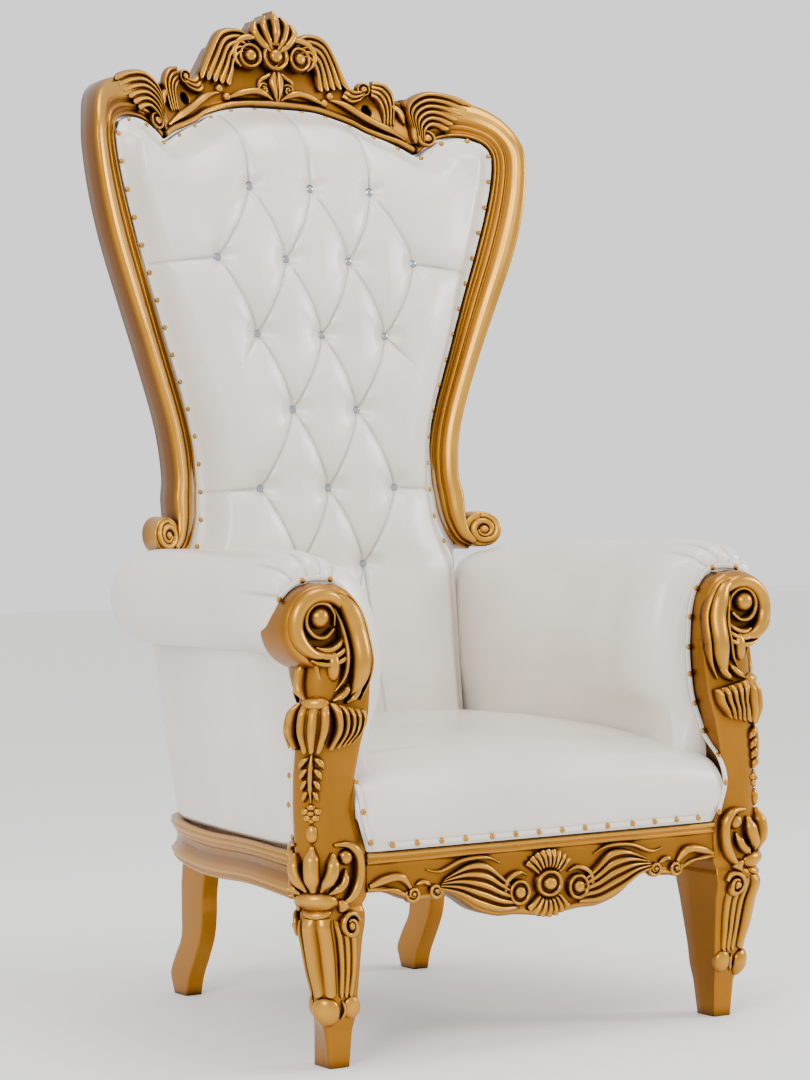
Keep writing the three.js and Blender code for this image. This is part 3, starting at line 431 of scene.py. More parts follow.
def gilding():
    """Satin antique-gold paint, darker in the hollows and lighter on the ridges: partly the real glaze and
    rubbing, partly painted shade and painted highlight.
    """
    made, tree, shader = material("antique gold paint", Metallic=0.93, Roughness=0.3)
    carving = node(tree, "ShaderNodeAttribute", attribute_name="carving")
    place = node(tree, "ShaderNodeTexCoord")
    clouds = node(tree, "ShaderNodeTexNoise",
                  {"Vector": place.outputs["Object"], "Scale": GOLD_CLOUDS, "Detail": 4.0})
    ramp = node(tree, "ShaderNodeValToRGB", {"Fac": carving.outputs["Fac"]})
    ramp.color_ramp.elements[0].color = colour(GOLD["deep"])
    ramp.color_ramp.elements[1].color = colour(GOLD["wear_and_highlight"])
    middle = ramp.color_ramp.elements.new(0.5)
    middle.color = colour(GOLD["body"])
    mottled = node(tree, "ShaderNodeMix", {0: 0.22, 6: ramp.outputs["Color"], 7: clouds.outputs["Fac"]},
                   data_type="RGBA", blend_type="OVERLAY")
    # Ambient occlusion darkens the colour towards the shade colour: painted shade in the narrow hollows of
    # the carving.
    open_air = node(tree, "ShaderNodeAmbientOcclusion", {"Distance": HOLLOW_REACH}, samples=6)
    hollow_shade = node(tree, "ShaderNodeMapRange",
                  {0: open_air.outputs["AO"], 1: 0.25, 2: 0.85, 3: 1.0, 4: 0.0})
    mix = {0: hollow_shade.outputs[0], 6: mottled.outputs[2], 7: colour(GOLD["shade"])}
    shaded = node(tree, "ShaderNodeMix", mix, data_type="RGBA")
    tree.links.new(shaded.outputs[2], shader.inputs["Base Color"])
    rough = node(tree, "ShaderNodeMapRange", {0: clouds.outputs["Fac"], 1: 0.3, 2: 0.7, 3: 0.27, 4: 0.4})
    tree.links.new(rough.outputs[0], shader.inputs["Roughness"])
    grain = node(tree, "ShaderNodeTexNoise",
                 {"Vector": place.outputs["Object"], "Scale": BRUSH_GRAIN, "Detail": 3.0})
    bump = node(tree, "ShaderNodeBump",
                {"Height": grain.outputs["Fac"], "Strength": 0.12, "Distance": BRUSH_GRAIN_DEPTH})
    tree.links.new(bump.outputs["Normal"], shader.inputs["Normal"])
    return made


gold_paint = gilding()
# How proud each point stands, from the hollows to the ridges, sets the gold's colour through that ramp.
SUNK, MIDDLE_SHADE = -6, 0.42


def joined(bodies):
    """One body of several: points, faces and how far each point stands proud of the hollows."""
    points, faces, carving, count = [], [], [], 0
    for body in bodies:
        points.append(body[0])
        faces += [[k + count for k in face] for face in body[1]]
        carving.append(body[2])
        count += len(body[0])
    return np.concatenate(points), faces, np.concatenate(carving)


def mirrored(body):
    return (mirror_points(body[0]), *body[1:])


def both_sides(bodies):
    return list(bodies) + [mirrored(body) for body in bodies]


def carved(front, back, proud):
    """Closed body of a carved front and a coarse sunk back, with how proud each point stands."""
    points, faces = shell(front, back)
    return points, faces, np.concatenate([np.ravel(proud), np.full(back[..., 0].size, 0.1)])


def rib(place, points, width, height, ends=(0.35, 0.35), sunk=SUNK, across=11):
    """Rounded bead along a curve of (a, b, lift), narrowing to these shares at its ends."""
    path = np.asarray(points, float)
    if path.shape[1] == 2:
        path = np.column_stack([path, np.full(len(path), 1.0)])
    length = np.linalg.norm(np.diff(path, axis=0), axis=1).sum()
    count = max(14, int(length / 2))
    path = even_curve(path, count)
    run = np.gradient(path[:, :2], axis=0)
    run /= np.linalg.norm(run, axis=1)[:, None] + 1e-9
    t = np.linspace(0, 1, count)
    opening = ends[0] + (1 - ends[0]) * smoothstep(t, 0, 0.3)
    full = opening * (ends[1] + (1 - ends[1]) * smoothstep(1 - t, 0, 0.3))
    s = np.sin(np.linspace(-np.pi / 2, np.pi / 2, across))[:, None]
    a = path[:, 0] - run[:, 1] * s * full * width / 2
    b = path[:, 1] + run[:, 0] * s * full * width / 2
    dome = np.sqrt(np.maximum(1 - s * s, 0))
    front = place(a, b, path[:, 2] + height * full * dome)
    back = place(a[[0, -1]], b[[0, -1]], np.full((2, count), float(sunk)))
    return carved(front, back, np.broadcast_to(0.2 + 0.7 * dome, a.shape))


def fluted(place, edge_a, edge_b, flutes, height, base=3, crown=0, notch=0.08):
    """Leaf or shell of rounded flutes that run along two edges of (a, b), with a scalloped end."""
    steps, columns, rows = 90, 64, 10 * flutes + 1
    a_curve, b_curve = (even_curve(edge, steps) for edge in (edge_a, edge_b))
    w = np.linspace(0, 1, rows)[:, None]
    flute = np.abs(np.sin(np.pi * flutes * w)) ** 0.7
    t = np.linspace(0, 1, columns)[None, :] * (1 - notch * (1 - flute))
    where = t * (steps - 1)
    i = np.minimum(where.astype(int), steps - 2)
    f = (where - i)[..., None]
    from_a = a_curve[i] * (1 - f) + a_curve[i + 1] * f
    from_b = b_curve[i] * (1 - f) + b_curve[i + 1] * f
    at = from_a * (1 - w[..., None]) + from_b * w[..., None]
    swell = smoothstep(t, -0.12, 0.2) * (1 - 0.5 * smoothstep(t, 0.6, 1.0))
    lift = base + crown * np.sin(np.pi * w) * np.sin(np.pi * np.clip(t, 0, 1)) + height * flute * swell
    front = place(at[..., 0], at[..., 1], lift)
    few = np.arange(0, rows, 5)
    back = place(at[few, :, 0], at[few, :, 1], np.full((len(few), columns), float(SUNK)))
    return carved(front, back, np.broadcast_to(0.1 + 0.8 * flute, at.shape[:2]))


def lathe(place, a, b, profile, squash=1, around=40):
    """Turned boss of (radius, lift) pairs from its sunk rim to its middle."""
    rings = even_curve(profile, 6 * len(profile))
    angle = np.linspace(0, 2 * np.pi, around, endpoint=False)[None, :]
    r, lift = rings[:, :1], np.broadcast_to(rings[:, 1:], (len(rings), around))
    points = place(a + r * np.cos(angle), b + squash * r * np.sin(angle), lift).reshape(-1, 3)
    last = (len(rings) - 1) * around
    faces = grid_faces(len(rings), around, around=True)
    faces += [list(range(around)), list(range(last, last + around))]
    low, high = rings[:, 1].min(), rings[:, 1].max()
    return points, faces, np.repeat(0.15 + 0.75 * (rings[:, 1] - low) / (high - low), around)


def knob(place, a, b, radius, height, squash=1, lift=0):
    """Half ball standing on the surface."""
    turn = np.linspace(0, np.pi / 2 - 0.02, 7)
    profile = [(radius * 0.9, SUNK)] + [(radius * np.cos(v), lift + height * np.sin(v)) for v in turn]
    return lathe(place, a, b, profile, squash, 28)


def ring_boss(place, a, b, radius, height, squash=1, lift=2):
    """Raised ring with a ball in the middle."""
    shares = [(1.06, SUNK), (1.04, 0), (0.95, 0.55), (0.84, 0.7), (0.72, 0.5), (0.62, 0.15), (0.54, 0.1),
              (0.48, 0.45), (0.36, 0.85), (0.2, 1.0), (0.02, 1.04)]
    profile = [(radius * r, h if h == SUNK else lift + height * h) for r, h in shares]
    return lathe(place, a, b, profile, squash, 48)


def spiral(place, a, b, radius, eye, turns, width, height, start=0, squash=1, lift=1):
    """Volute: a bead that winds in from its radius to a ball, clockwise for negative turns."""
    t = np.linspace(0, 1, 22)
    angle = start + 2 * np.pi * turns * t
    r = radius + (eye - radius) * t**0.85
    path = np.stack([a + r * np.cos(angle), b + squash * r * np.sin(angle), lift + 3 * t], axis=-1)
    return [rib(place, path, width, height, (0.7, 0.5), across=9),
            knob(place, a, b, eye * 0.95, height + 4, squash, lift)]


CREST_BOARD = [(0, 1617, 1768), (30, 1617, 1764), (62, 1616, 1751), (94, 1612, 1748),
               (118, 1606, 1734), (140, 1599, 1700), (160, 1591, 1672), (182, 1578, 1662),
               (210, 1566, 1668), (236, 1556, 1652), (261.7, 1541, 1646)]
CREST_HALF, CREST_ROLL = 261.7, 22
PIERCING_X, PIERCING_Z, PIERCING_RADIUS, PIERCING_DEPTH = 194, 1624, 8, 44
FRAME_DEPTH = 52


def crest_board():
    """The board with its rolled lower edge, thinned edges and two deep round pits."""
    half = even_curve(CREST_BOARD, 200)
    x = np.linspace(-CREST_HALF, CREST_HALF, 330)
    low, high = (np.interp(np.abs(x), half[:, 0], half[:, k]) for k in (1, 2))
    high = high - 6 * (np.abs(x) < 120)
    near = np.linspace(0, CREST_ROLL, 15)
    far = np.linspace(0, 1, 40)[1:, None] ** 0.9
    z = np.concatenate([low + near[:, None], low + CREST_ROLL + (high - low - CREST_ROLL) * far])
    up = z - low
    lift = np.interp(up, [0, 1.5, 4, 8, 12, 15, 18, 24], [-3, 3, 7, 9, 7, 2, 0, 1])
    lift = lift - 5 * smoothstep(up, 24, 90) - 8 * np.clip(1 - (high - z) / 7, 0, 1) ** 2
    hole = np.hypot(np.abs(x) - PIERCING_X, (z - PIERCING_Z) / 1.3)
    lift = lift - PIERCING_DEPTH * smoothstep(-hole, -PIERCING_RADIUS - 1.5, -PIERCING_RADIUS + 1)
    front = on_back(np.broadcast_to(x, z.shape), z, lift)
    back = np.stack([on_back(x, edge, depth) for edge, depth in
                     ((low + 2, -FRAME_DEPTH), (low * 0.5 + high * 0.5, -FRAME_DEPTH), (high - 2, -46))])
    return carved(front, back, np.clip(0.35 + (lift - 1) / 16, 0.05, 0.9))


def crest_half():
    """Ring, palmette, volute, acanthus and shoulder leaves of the right half."""
    return [
        ring_boss(on_back, 53, 1713, 24, 13, lift=6),
        rib(on_back, [(26, 1740, 6), (44, 1747, 9), (70, 1743, 9), (85, 1726, 8), (84, 1706, 7),
                      (70, 1692, 5)], 14, 10),
        fluted(on_back, [(62, 1716), (76, 1712), (86, 1694), (88, 1676), (92, 1654)],
               [(40, 1744), (72, 1763), (112, 1757), (138, 1718), (163, 1664)], 5, 10, 4, 5, 0.12),
        rib(on_back, [(8, 1722, 6), (30, 1740, 9), (42, 1758, 9), (37, 1778, 6)], 17, 12, (0.5, 0.45), -24),
        rib(on_back, [(6, 1726, 6), (18, 1750, 10), (24, 1772, 10), (16, 1790, 7)], 15, 13, (0.5, 0.45), -24),
        *spiral(on_back, 27, 1652, 12, 4.5, -1.2, 7, 5, 2.4),
        rib(on_back, [(6, 1686, 3), (20, 1676, 4), (33, 1668, 3), (38, 1656, 2)], 9, 6),
        rib(on_back, [(8, 1632, 1), (24, 1641, 4), (44, 1647, 6), (72, 1643, 5), (104, 1630, 2)], 14, 10),
        knob(on_back, 104, 1634, 9, 11),
        rib(on_back, [(114, 1642, 1), (146, 1633, 5), (188, 1606, 6), (226, 1584, 5), (252, 1566, 1)],
            15, 10),
        knob(on_back, 118, 1648, 9, 11),
        ring_boss(on_back, 190, 1665, 13, 9, lift=1),
        fluted(on_back, [(146, 1648), (160, 1636), (178, 1640), (190, 1650)],
               [(160, 1672), (172, 1664), (184, 1664), (196, 1668)], 3, 6, 2, 3),
        fluted(on_back, [(204, 1652), (214, 1640), (218, 1618), (216, 1598)],
               [(208, 1682), (232, 1676), (246, 1650), (238, 1594)], 4, 8, 2, 3, 0.12),
        rib(on_back, [(232, 1636, 3), (250, 1624, 5), (256, 1600, 3)], 12, 8),
    ]


crest_middle = [
    ring_boss(on_back, 0, 1715, 28, 13, lift=6),
    rib(on_back, [(0, 1738, 8), (0, 1762, 13), (0, 1800, 8)], 19, 14, (0.7, 0.3), -24),
    fluted(on_back, [(-4, 1692), (-17, 1670), (-13, 1650), (-1, 1624)],
           [(4, 1692), (17, 1670), (13, 1650), (1, 1624)], 2, 8, 3, 3, 0.02),
    knob(on_back, 0, 1694, 7, 10, lift=3),
]
crest_points, crest_faces, crest_proud = joined([crest_board(), *crest_middle, *both_sides(crest_half())])
piece("crest_carving", crest_points, crest_faces, gold_paint, "crest_rail", carving=crest_proud)


# ---- the back's stiles ----
# Curved posts with a moulded face: outer bead, torus, groove, second torus, cove and inner bead. Each
# ends in a snail volute below and carries a long fluted leaf over its upper corner.
STILE_EDGES = [
    # inner x and z, outer x and z
    (305, 792, 318, 812), (279, 806, 308, 832), (258, 846, 305, 862), (250, 888, 305, 895),
    (247, 935, 299, 930), (250, 990, 303, 990), (265, 1055, 316, 1050), (297, 1155, 349, 1150),
    (328, 1255, 386, 1250), (360, 1355, 422, 1350), (384, 1440, 443, 1435), (397, 1505, 452, 1515),
    (396, 1540, 447, 1562), (383, 1561, 430, 1603), (360, 1571, 404, 1629), (336, 1573, 370, 1643),
    (312, 1568, 334, 1649), (290, 1555, 296, 1652), (272, 1540, 262.2, 1648),
]
STILE_FACE = [(0, -8), (0.02, 1), (0.06, 4), (0.1, 3), (0.14, -1), (0.21, -1), (0.25, 3), (0.31, 6),
              (0.36, 4), (0.39, 0.5), (0.43, 4), (0.51, 9.5), (0.62, 12.5), (0.74, 13), (0.86, 11),
              (0.94, 7), (0.98, 1), (1, -5)]
STILE_BEHIND = [(1.0, -30), (0.985, -56), (0.9, -60), (0.1, -54), (0.01, -50), (0, -30)]


def loft(rings, proud=None):
    """Closed body through rings of points, capped at both ends."""
    rings = np.asarray(rings, float)
    stations, around = rings.shape[:2]
    last = (stations - 1) * around
    faces = grid_faces(stations, around, around=True)
    faces += [list(range(around)), list(range(last, last + around))]
    shade = MIDDLE_SHADE if proud is None else proud
    return rings.reshape(-1, 3), faces, np.broadcast_to(shade, (stations, around)).ravel()


def pair(name, body, finish, node_name, **more):
    """The right piece and its mirrored left one, each standing for its CAD node."""
    return [piece(f"{name}_{side}", points, body[1], finish, f"{node_name}_{side}", **more)
            for side, points in (("right", body[0]), ("left", mirror_points(body[0])))]


def stile_body():
    path = even_curve(STILE_EDGES, 260)[:, None, :]
    face = np.array(STILE_FACE)
    across = np.linspace(0, 1, 56)
    smooth_face = np.column_stack([across, np.interp(across, face[:, 0], face[:, 1])])
    section = np.concatenate([smooth_face, STILE_BEHIND])
    share, lift = section[:, 0], section[:, 1]
    x = path[..., 0] * (1 - share) + path[..., 2] * share
    z = path[..., 1] * (1 - share) + path[..., 3] * share
    proud = np.clip(0.3 + lift / 20, 0.05, 0.9)
    return loft(on_back(x, z, lift), proud)


def stile_carving():
    snail = [(30, -48), (33, -44), (33, -6), (32, 3), (28, 5), (16, 6), (0.5, 6)]
    return [
        stile_body(),
        lathe(on_back, 331, 829, snail),
        *spiral(on_back, 331, 829, 26, 9, -1.75, 13, 8, 1.7, lift=4),
        fluted(on_back, [(280, 1556), (282, 1576), (294, 1590), (308, 1590), (322, 1582)],
               [(264, 1566), (262, 1632), (294, 1661), (340, 1658), (382, 1640)], 6, 11, 8, 4, 0.12),
        ring_boss(on_back, 285, 1570, 16, 10, lift=9),
        rib(on_back, [(266, 1560, 8), (264, 1580, 10), (272, 1604, 9)], 10, 7),
    ]


stile = joined(stile_carving())
pair("stile_carving", stile, gold_paint, "back_stile", carving=stile[2])


# ---- the arm posts ----
# Each post is one carved timber: square foot, balls at the ankle, fluted shin, cartouche at the knee,
# plain shaft with a hanging leaf, shell collar and a scroll at the arm.
POST_SECTIONS = [
    # z, inner x, outer x, outer x at the back, front y, back y, radius of the outer front corner
    (0, 360, 395, 395, 0, 49, 4), (58, 357, 402, 390, -5, 56, 10),
    (82, 354, 410, 388, -12, 61, 18), (118, 352, 412, 387, -13, 64, 22),
    (200, 348, 430, 393, -25, 80, 30), (228, 347, 439, 394, -33, 87, 34),
    (246, 346, 438, 394, -32, 90, 36), (255, 349, 430, 386, -26, 90, 34),
    (266, 341, 438, 385, -29, 94, 38), (336, 341, 441, 393, -30, 94, 40),
    (400, 360, 442, 398, -29, 100, 42), (455, 360, 441, 396, -29, 100, 42),
    (504, 349, 438, 389, -31, 97, 40), (550, 334, 434, 395, -32, 84, 38),
    (604, 328, 428, 397, -29, 66, 30), (640, 328, 424, 395, -26, 60, 26),
]
POST_TOP = 640
SCROLL_FRONT, SCROLL_BACK, SCROLL_NECK_FORWARD = -20, 58, 11
SCROLL_EYE, SCROLL_DISC, SCROLL_DISC_RADIUS = (416, 702), (410, 688), 67
POST_BULGE, POST_BULGE_REACH = 6, 78


def post_table():
    """The sections blended into each other millimetre by millimetre, from the floor to the top."""
    z = np.arange(0, POST_TOP + 1.0)
    sections = np.array(POST_SECTIONS, float)
    table = np.stack([np.interp(z, sections[:, 0], sections[:, k]) for k in range(1, 7)])
    kernel = np.exp(-0.5 * (np.arange(-9, 10) / 3.0) ** 2)
    kernel /= kernel.sum()
    padded = np.pad(table, ((0, 0), (9, 9)), mode="edge")
    return z, np.stack([np.convolve(row, kernel, mode="valid") for row in padded])


POST_Z, POST_TABLE = post_table()


def post_at(z):
    return [np.interp(z, POST_Z, row) for row in POST_TABLE]


def as_floats(*values):
    return np.broadcast_arrays(*[np.asarray(v, float) for v in values])


def on_post(s, z, lift=0):
    """A place on the carved faces: s runs from the outer front corner, negative along the front face
    and positive along the outer side."""
    s, z, lift = as_floats(s, z, lift)
    _, outer, outer_back, front, back, radius = post_at(z)
    half = radius * np.pi / 4
    bend = np.clip(s, -half, half)
    lift = lift + POST_BULGE * smoothstep(z, 60, 120) * np.clip(1 - (s / POST_BULGE_REACH) ** 2, 0, 1)
    angle = -np.pi / 4 + bend / radius
    beyond = s - bend
    x = outer - radius + np.cos(angle) * (radius + lift) + np.minimum(beyond, 0)
    x = x - np.maximum(beyond, 0) * (outer - outer_back) / (back - front - radius)
    y = front + radius + np.sin(angle) * (radius + lift) + np.maximum(beyond, 0)
    return np.stack([x, y, z], axis=-1)


def on_scroll(x, z, lift=0):
    """A place on the scroll's flat front, which stands further forward at its neck."""
    x, z, lift = as_floats(x, z, lift)
    neck = SCROLL_NECK_FORWARD * (1 - smoothstep(z, 630, 690))
    return np.stack([x, SCROLL_FRONT - neck - lift, z], axis=-1)


def post_body():
    z = np.concatenate([np.linspace(0, 3, 3), np.linspace(5, POST_TOP, 250)])
    across = 64
    inner, outer, _, front, back, radius = post_at(z)
    half = radius * np.pi / 4
    start, end = -(half + outer - radius - inner), half + back - front - radius
    share = np.linspace(0, 1, across)
    s = start[:, None] + (end - start)[:, None] * share
    carved_faces = on_post(s, z[:, None], -1.5 * (np.exp(-((s - start[:, None]) / 3) ** 2)))
    side = carved_faces[:, -1]
    behind = [side * (1 - k) + np.stack([inner, back, z], axis=-1) * k for k in (0.1, 0.5, 0.95)]
    within = [np.stack([inner, back * (1 - k) + front * k, z], axis=-1)
              for k in (0.04, 0.35, 0.7, 0.97)]
    rings = np.concatenate([carved_faces, np.stack(behind, axis=1), np.stack(within, axis=1)], axis=1)
    plain = len(behind) + len(within)
    return loft(rings, np.concatenate([np.full(across, MIDDLE_SHADE), np.full(plain, 0.22)]))


def scroll_outline():
    neck = even_curve([(329, 590), (328, 640), (336, 705), (354, 738), (378, 753)], 90)
    angle = np.linspace(0.58 * np.pi, -0.42 * np.pi, 120)
    disc = SCROLL_DISC + SCROLL_DISC_RADIUS * np.stack([np.cos(angle), np.sin(angle)], axis=-1)
    rest = np.array([(424, 606), (420, 590), (390, 588), (350, 588)])
    closed = np.concatenate([neck, disc, rest, neck[:1]])
    along = np.concatenate([[0], np.cumsum(np.linalg.norm(np.diff(closed, axis=0), axis=1))])
    at = np.linspace(0, along[-1], 260, endpoint=False)
    return np.stack([np.interp(at, along, closed[:, k]) for k in (0, 1)], axis=-1)


def scroll_head():
    """The scroll's block, with a raised band round the rim of its front."""
    outline = scroll_outline()
    middle = np.array([398.0, 678.0])
    rim = [(0.95, SCROLL_BACK), (0.985, SCROLL_BACK - 3), (1.0, SCROLL_BACK - 9), (1.0, SCROLL_FRONT + 14),
           (0.995, SCROLL_FRONT + 8), (0.975, SCROLL_FRONT + 2)]
    share = np.linspace(0.95, 0.03, 40)
    band = SCROLL_FRONT - 9 * np.exp(-(((share - 0.84) / 0.11) ** 2)) + 3 * (share < 0.7)
    levels = rim + list(zip(share, band))
    rings = [np.column_stack([middle[0] + k * (outline[:, 0] - middle[0]), np.full(len(outline), y),
                              middle[1] + k * (outline[:, 1] - middle[1])]) for k, y in levels]
    proud = [0.3] * len(rim) + list(0.2 + 0.6 * np.exp(-(((share - 0.84) / 0.13) ** 2)))
    return loft(rings, np.array(proud)[:, None])


def arc(a, b, radius, start, end, lift):
    angle = np.radians(np.linspace(start, end, 9))
    return [(a + radius * math.cos(v), b + radius * math.sin(v), lift) for v in angle]


def scroll_carving():
    eye_x, eye_z = SCROLL_EYE
    ridges = [rib(on_scroll, arc(eye_x - 8, eye_z - 14, radius, 205 + 8 * k, 300, 3), 10, 9, (0.4, 0.5))
              for k, radius in enumerate((36, 47, 58))]
    return [
        scroll_head(),
        knob(on_scroll, eye_x, eye_z, 17, 18, lift=1),
        rib(on_scroll, arc(eye_x - 2, eye_z - 4, 27, 200, -150, 2), 9, 9, (0.4, 0.7)),
        rib(on_scroll, arc(eye_x - 4, eye_z - 12, 47, 170, -100, 3), 26, 15, (0.4, 0.5)),
        rib(on_scroll, [(400, 738, 2), (372, 724, 6), (356, 690, 9), (351, 650, 10), (355, 608, 8),
                        (370, 574, 3)], 32, 17, (0.4, 0.4)),
        rib(on_scroll, [(392, 748, 2), (358, 730, 4), (337, 692, 4), (331, 648, 4), (335, 606, 4),
                        (350, 574, 3)], 8, 9),
        rib(on_scroll, [(388, 716, 2), (379, 690, 5), (374, 652, 5), (380, 612, 4), (396, 588, 2)],
            8, 10),
        knob(on_scroll, 398, 628, 11, 12, 2.3, 2),
        *ridges,
    ]


def rib_pair(points, *rest):
    """The same rib on both sides of the corner line."""
    flipped = [(-p[0], *p[1:]) for p in points]
    return [rib(on_post, points, *rest), rib(on_post, flipped, *rest)]


def knob_pair(s, z, *rest):
    return [knob(on_post, s, z, *rest), knob(on_post, -s, z, *rest)]


def leaf_pair(edge_a, edge_b, edge_c, *rest, **more):
    """Fluted leaves outside the corner line and in front of it, from a shared inner edge."""
    inner = [(-s, z) for s, z in edge_a]
    return [fluted(on_post, edge_a, edge_b, *rest, **more), fluted(on_post, inner, edge_c, *rest, **more)]


def leaf_on_post(edge, flutes, height, base=2, **more):
    return fluted(on_post, edge, [(-s, z) for s, z in edge], flutes, height, base, **more)


def post_carving():
    leaflets = []
    for k in range(4):
        top = 490 - 17 * k
        leaflets += rib_pair([(2, top, 1), (9 - k, top - 7, 4), (16 - 2 * k, top - 20, 2)], 9 - k, 7)
    petals = [knob(on_post, 9 * math.cos(v), 402 + 9 * math.sin(v), 6, 5)
              for v in np.radians([18, 90, 162, 234, 306])]
    return [
        post_body(),
        # foot and ankle
        knob(on_post, 0, 91, 20, 13, 1.2), *knob_pair(42, 96, 16, 10, 1.15),
        *rib_pair([(22, 78, 1), (28, 92, 3), (24, 108, 1)], 6, 5),
        # shin
        leaf_on_post([(-21, 240), (-20, 180), (-15, 114)], 2, 9, 1, notch=0.05),
        *leaf_pair([(24, 238), (24, 180), (18, 112)], [(58, 214), (52, 170), (40, 112)],
                   [(-64, 214), (-58, 170), (-44, 112)], 3, 7, 1),
        *spiral(on_post, 50, 226, 19, 7, 1.3, 10, 8, 0.3, 1.2, 4),
        *spiral(on_post, -52, 226, 19, 7, -1.3, 10, 8, 2.8, 1.2, 4),
        # knee
        knob(on_post, 0, 266, 32, 15, 0.5), knob(on_post, 0, 248, 20, 8, 0.5),
        rib(on_post, [(0, 280, 4), (0, 312, 11), (0, 352, 4)], 18, 13, (0.5, 0.3)),
        *rib_pair([(9, 280, 3), (22, 308, 8), (27, 340, 3)], 17, 12),
        *rib_pair([(19, 276, 2), (40, 292, 6), (49, 314, 2)], 15, 10),
        *rib_pair([(30, 352, 1), (56, 350, 4), (72, 332, 5), (71, 298, 5), (56, 270, 4), (32, 256, 2)],
                  17, 12),
        *knob_pair(50, 332, 13, 12), *knob_pair(38, 258, 11, 11),
        # hanging leaf, flower and drop
        rib(on_post, [(0, 498, 2), (0, 462, 4), (0, 418, 1)], 7, 8), *leaflets,
        knob(on_post, 0, 402, 5, 9), *petals, knob(on_post, 0, 370, 8, 8, 1.9), knob(on_post, 0, 390, 4, 5),
        # collar
        leaf_on_post([(-19, 568), (-21, 532), (-12, 494)], 3, 11, 5, crown=5, notch=0.1),
        *leaf_pair([(17, 572), (25, 536), (18, 498)], [(84, 556), (80, 534), (62, 508)],
                   [(-84, 556), (-80, 534), (-62, 508)], 5, 13, 6, crown=6, notch=0.12),
        rib(on_post, [(16, 640, 2), (22, 616, 5), (22, 592, 5), (12, 574, 3)], 12, 10),
        rib(on_post, [(34, 636, 1), (42, 612, 4), (46, 588, 5), (60, 570, 3)], 11, 9),
        rib(on_post, [(-50, 600, 2), (-40, 586, 6), (-22, 574, 4)], 12, 10),
        rib(on_post, [(-72, 604, 2), (-62, 584, 6), (-46, 570, 4)], 12, 10),
        knob(on_post, 0, 570, 20, 13, 0.6),
        *scroll_carving(),
    ]


post = joined(post_carving())
pair("post_carving", post, gold_paint, "front_post", carving=post[2])


# ---- the front rail ----
# Serpentine board under a moulding: oval rosette between two fan shells, volutes, acanthus leaves that
# end in curls, and small brackets towards the posts.
APRON_LOWER = [(0, 206), (60, 214), (98, 215), (138, 227), (172, 249), (198, 260),
               (226, 254), (258, 253), (284, 263), (312, 271), (340.6, 272)]
APRON_HALF, APRON_MOULDING_FOOT = 340.6, 310
RAIL_TOP, RAIL_FACE_Y, RAIL_THICKNESS = 335, -28, 34
FAN_Z, FAN_SQUASH = 260, 0.97


def on_apron(x, z, lift=0):
    x, z, lift = as_floats(x, z, lift)
    return np.stack([x, RAIL_FACE_Y - lift, z], axis=-1)


def on_fan(angle, radius, lift=0):
    return on_apron(radius * np.cos(angle), FAN_Z + FAN_SQUASH * radius * np.sin(angle), lift)


def apron_board():
    """The board with a bead along its serpentine edge and a moulding along its top."""
    half = even_curve(APRON_LOWER, 200)
    x = np.linspace(-APRON_HALF, APRON_HALF, 420)
    low = np.interp(np.abs(x), half[:, 0], half[:, 1])
    up = np.concatenate([np.linspace(0, 16, 12), np.linspace(20, 60, 8)])
    shelf = np.array([312, 314.5, 316, 318, 320.5, 322, 323.5, 325.5, 328, 331, 333.5, 335])
    z = np.concatenate([low + (APRON_MOULDING_FOOT - low) * up[:, None] / 61,
                        np.broadcast_to(shelf[:, None], (len(shelf), len(x)))])
    bead = 5 * np.exp(-(((z - low - 6) / 4.5) ** 2)) - 3 * np.exp(-(((z - low) / 1.5) ** 2))
    mould = np.interp(z, [312, 315, 318, 321, 323, 324.5, 327, 331, 334, 335],
                      [0, 1, 4.5, 4.5, 2, 3, 6.5, 6.5, 4, 2])
    front = on_apron(np.broadcast_to(x, z.shape), z, bead + mould)
    back = on_apron(x, np.stack([low, low * 0.5 + 167, np.full(len(x), float(RAIL_TOP))]), -RAIL_THICKNESS)
    return carved(front, back, np.clip(0.3 + (bead + mould) / 12, 0.05, 0.9))


def apron_half():
    """Ring, shell, volutes and leaves of the right half."""
    return [
        ring_boss(on_apron, 58, 250, 21, 11, lift=3),
        fluted(on_apron, [(60, 222), (98, 221), (138, 233), (178, 256), (212, 268)],
               [(74, 264), (96, 284), (122, 304), (156, 304), (200, 284)], 5, 9, 3, 4, 0.06),
        rib(on_apron, [(40, 276, 2), (58, 282, 4), (80, 272, 4), (86, 254, 3), (76, 236, 2)], 9, 7),
        *spiral(on_apron, 216, 266, 13, 5, 1.3, 7, 6, 2.6),
        *spiral(on_apron, 258, 264, 13, 5, -1.3, 7, 6, 0.4),
        rib(on_apron, [(224, 274, 2), (238, 282, 3), (252, 278, 2)], 8, 6),
        rib(on_apron, [(262, 274, 2), (280, 292, 4), (306, 292, 4), (338, 282, 2)], 14, 9, (0.5, 0.6)),
        rib(on_apron, [(270, 262, 1), (292, 274, 2), (338, 276, 1)], 6, 5),
        rib(on_apron, [(92, 300, 1), (120, 311, 3), (165, 310, 3), (206, 296, 2), (232, 300, 1)], 7, 6),
    ]


apron_middle = [
    ring_boss(on_apron, 0, 260, 26, 12, 0.85, lift=4),
]
for fan_start, fan_end, fan_flutes in ((0.2, 0.8, 9), (-0.22, -0.78, 7)):
    fan_edges = [[(share * math.pi, radius) for radius in (24, 57)] for share in (fan_start, fan_end)]
    apron_middle.append(fluted(on_fan, *fan_edges, fan_flutes, 7, 3, 3, 0.1))
apron_points, apron_faces, apron_proud = joined([apron_board(), *apron_middle, *both_sides(apron_half())])
piece("front_rail_carving", apron_points, apron_faces, gold_paint, "front_rail", carving=apron_proud)


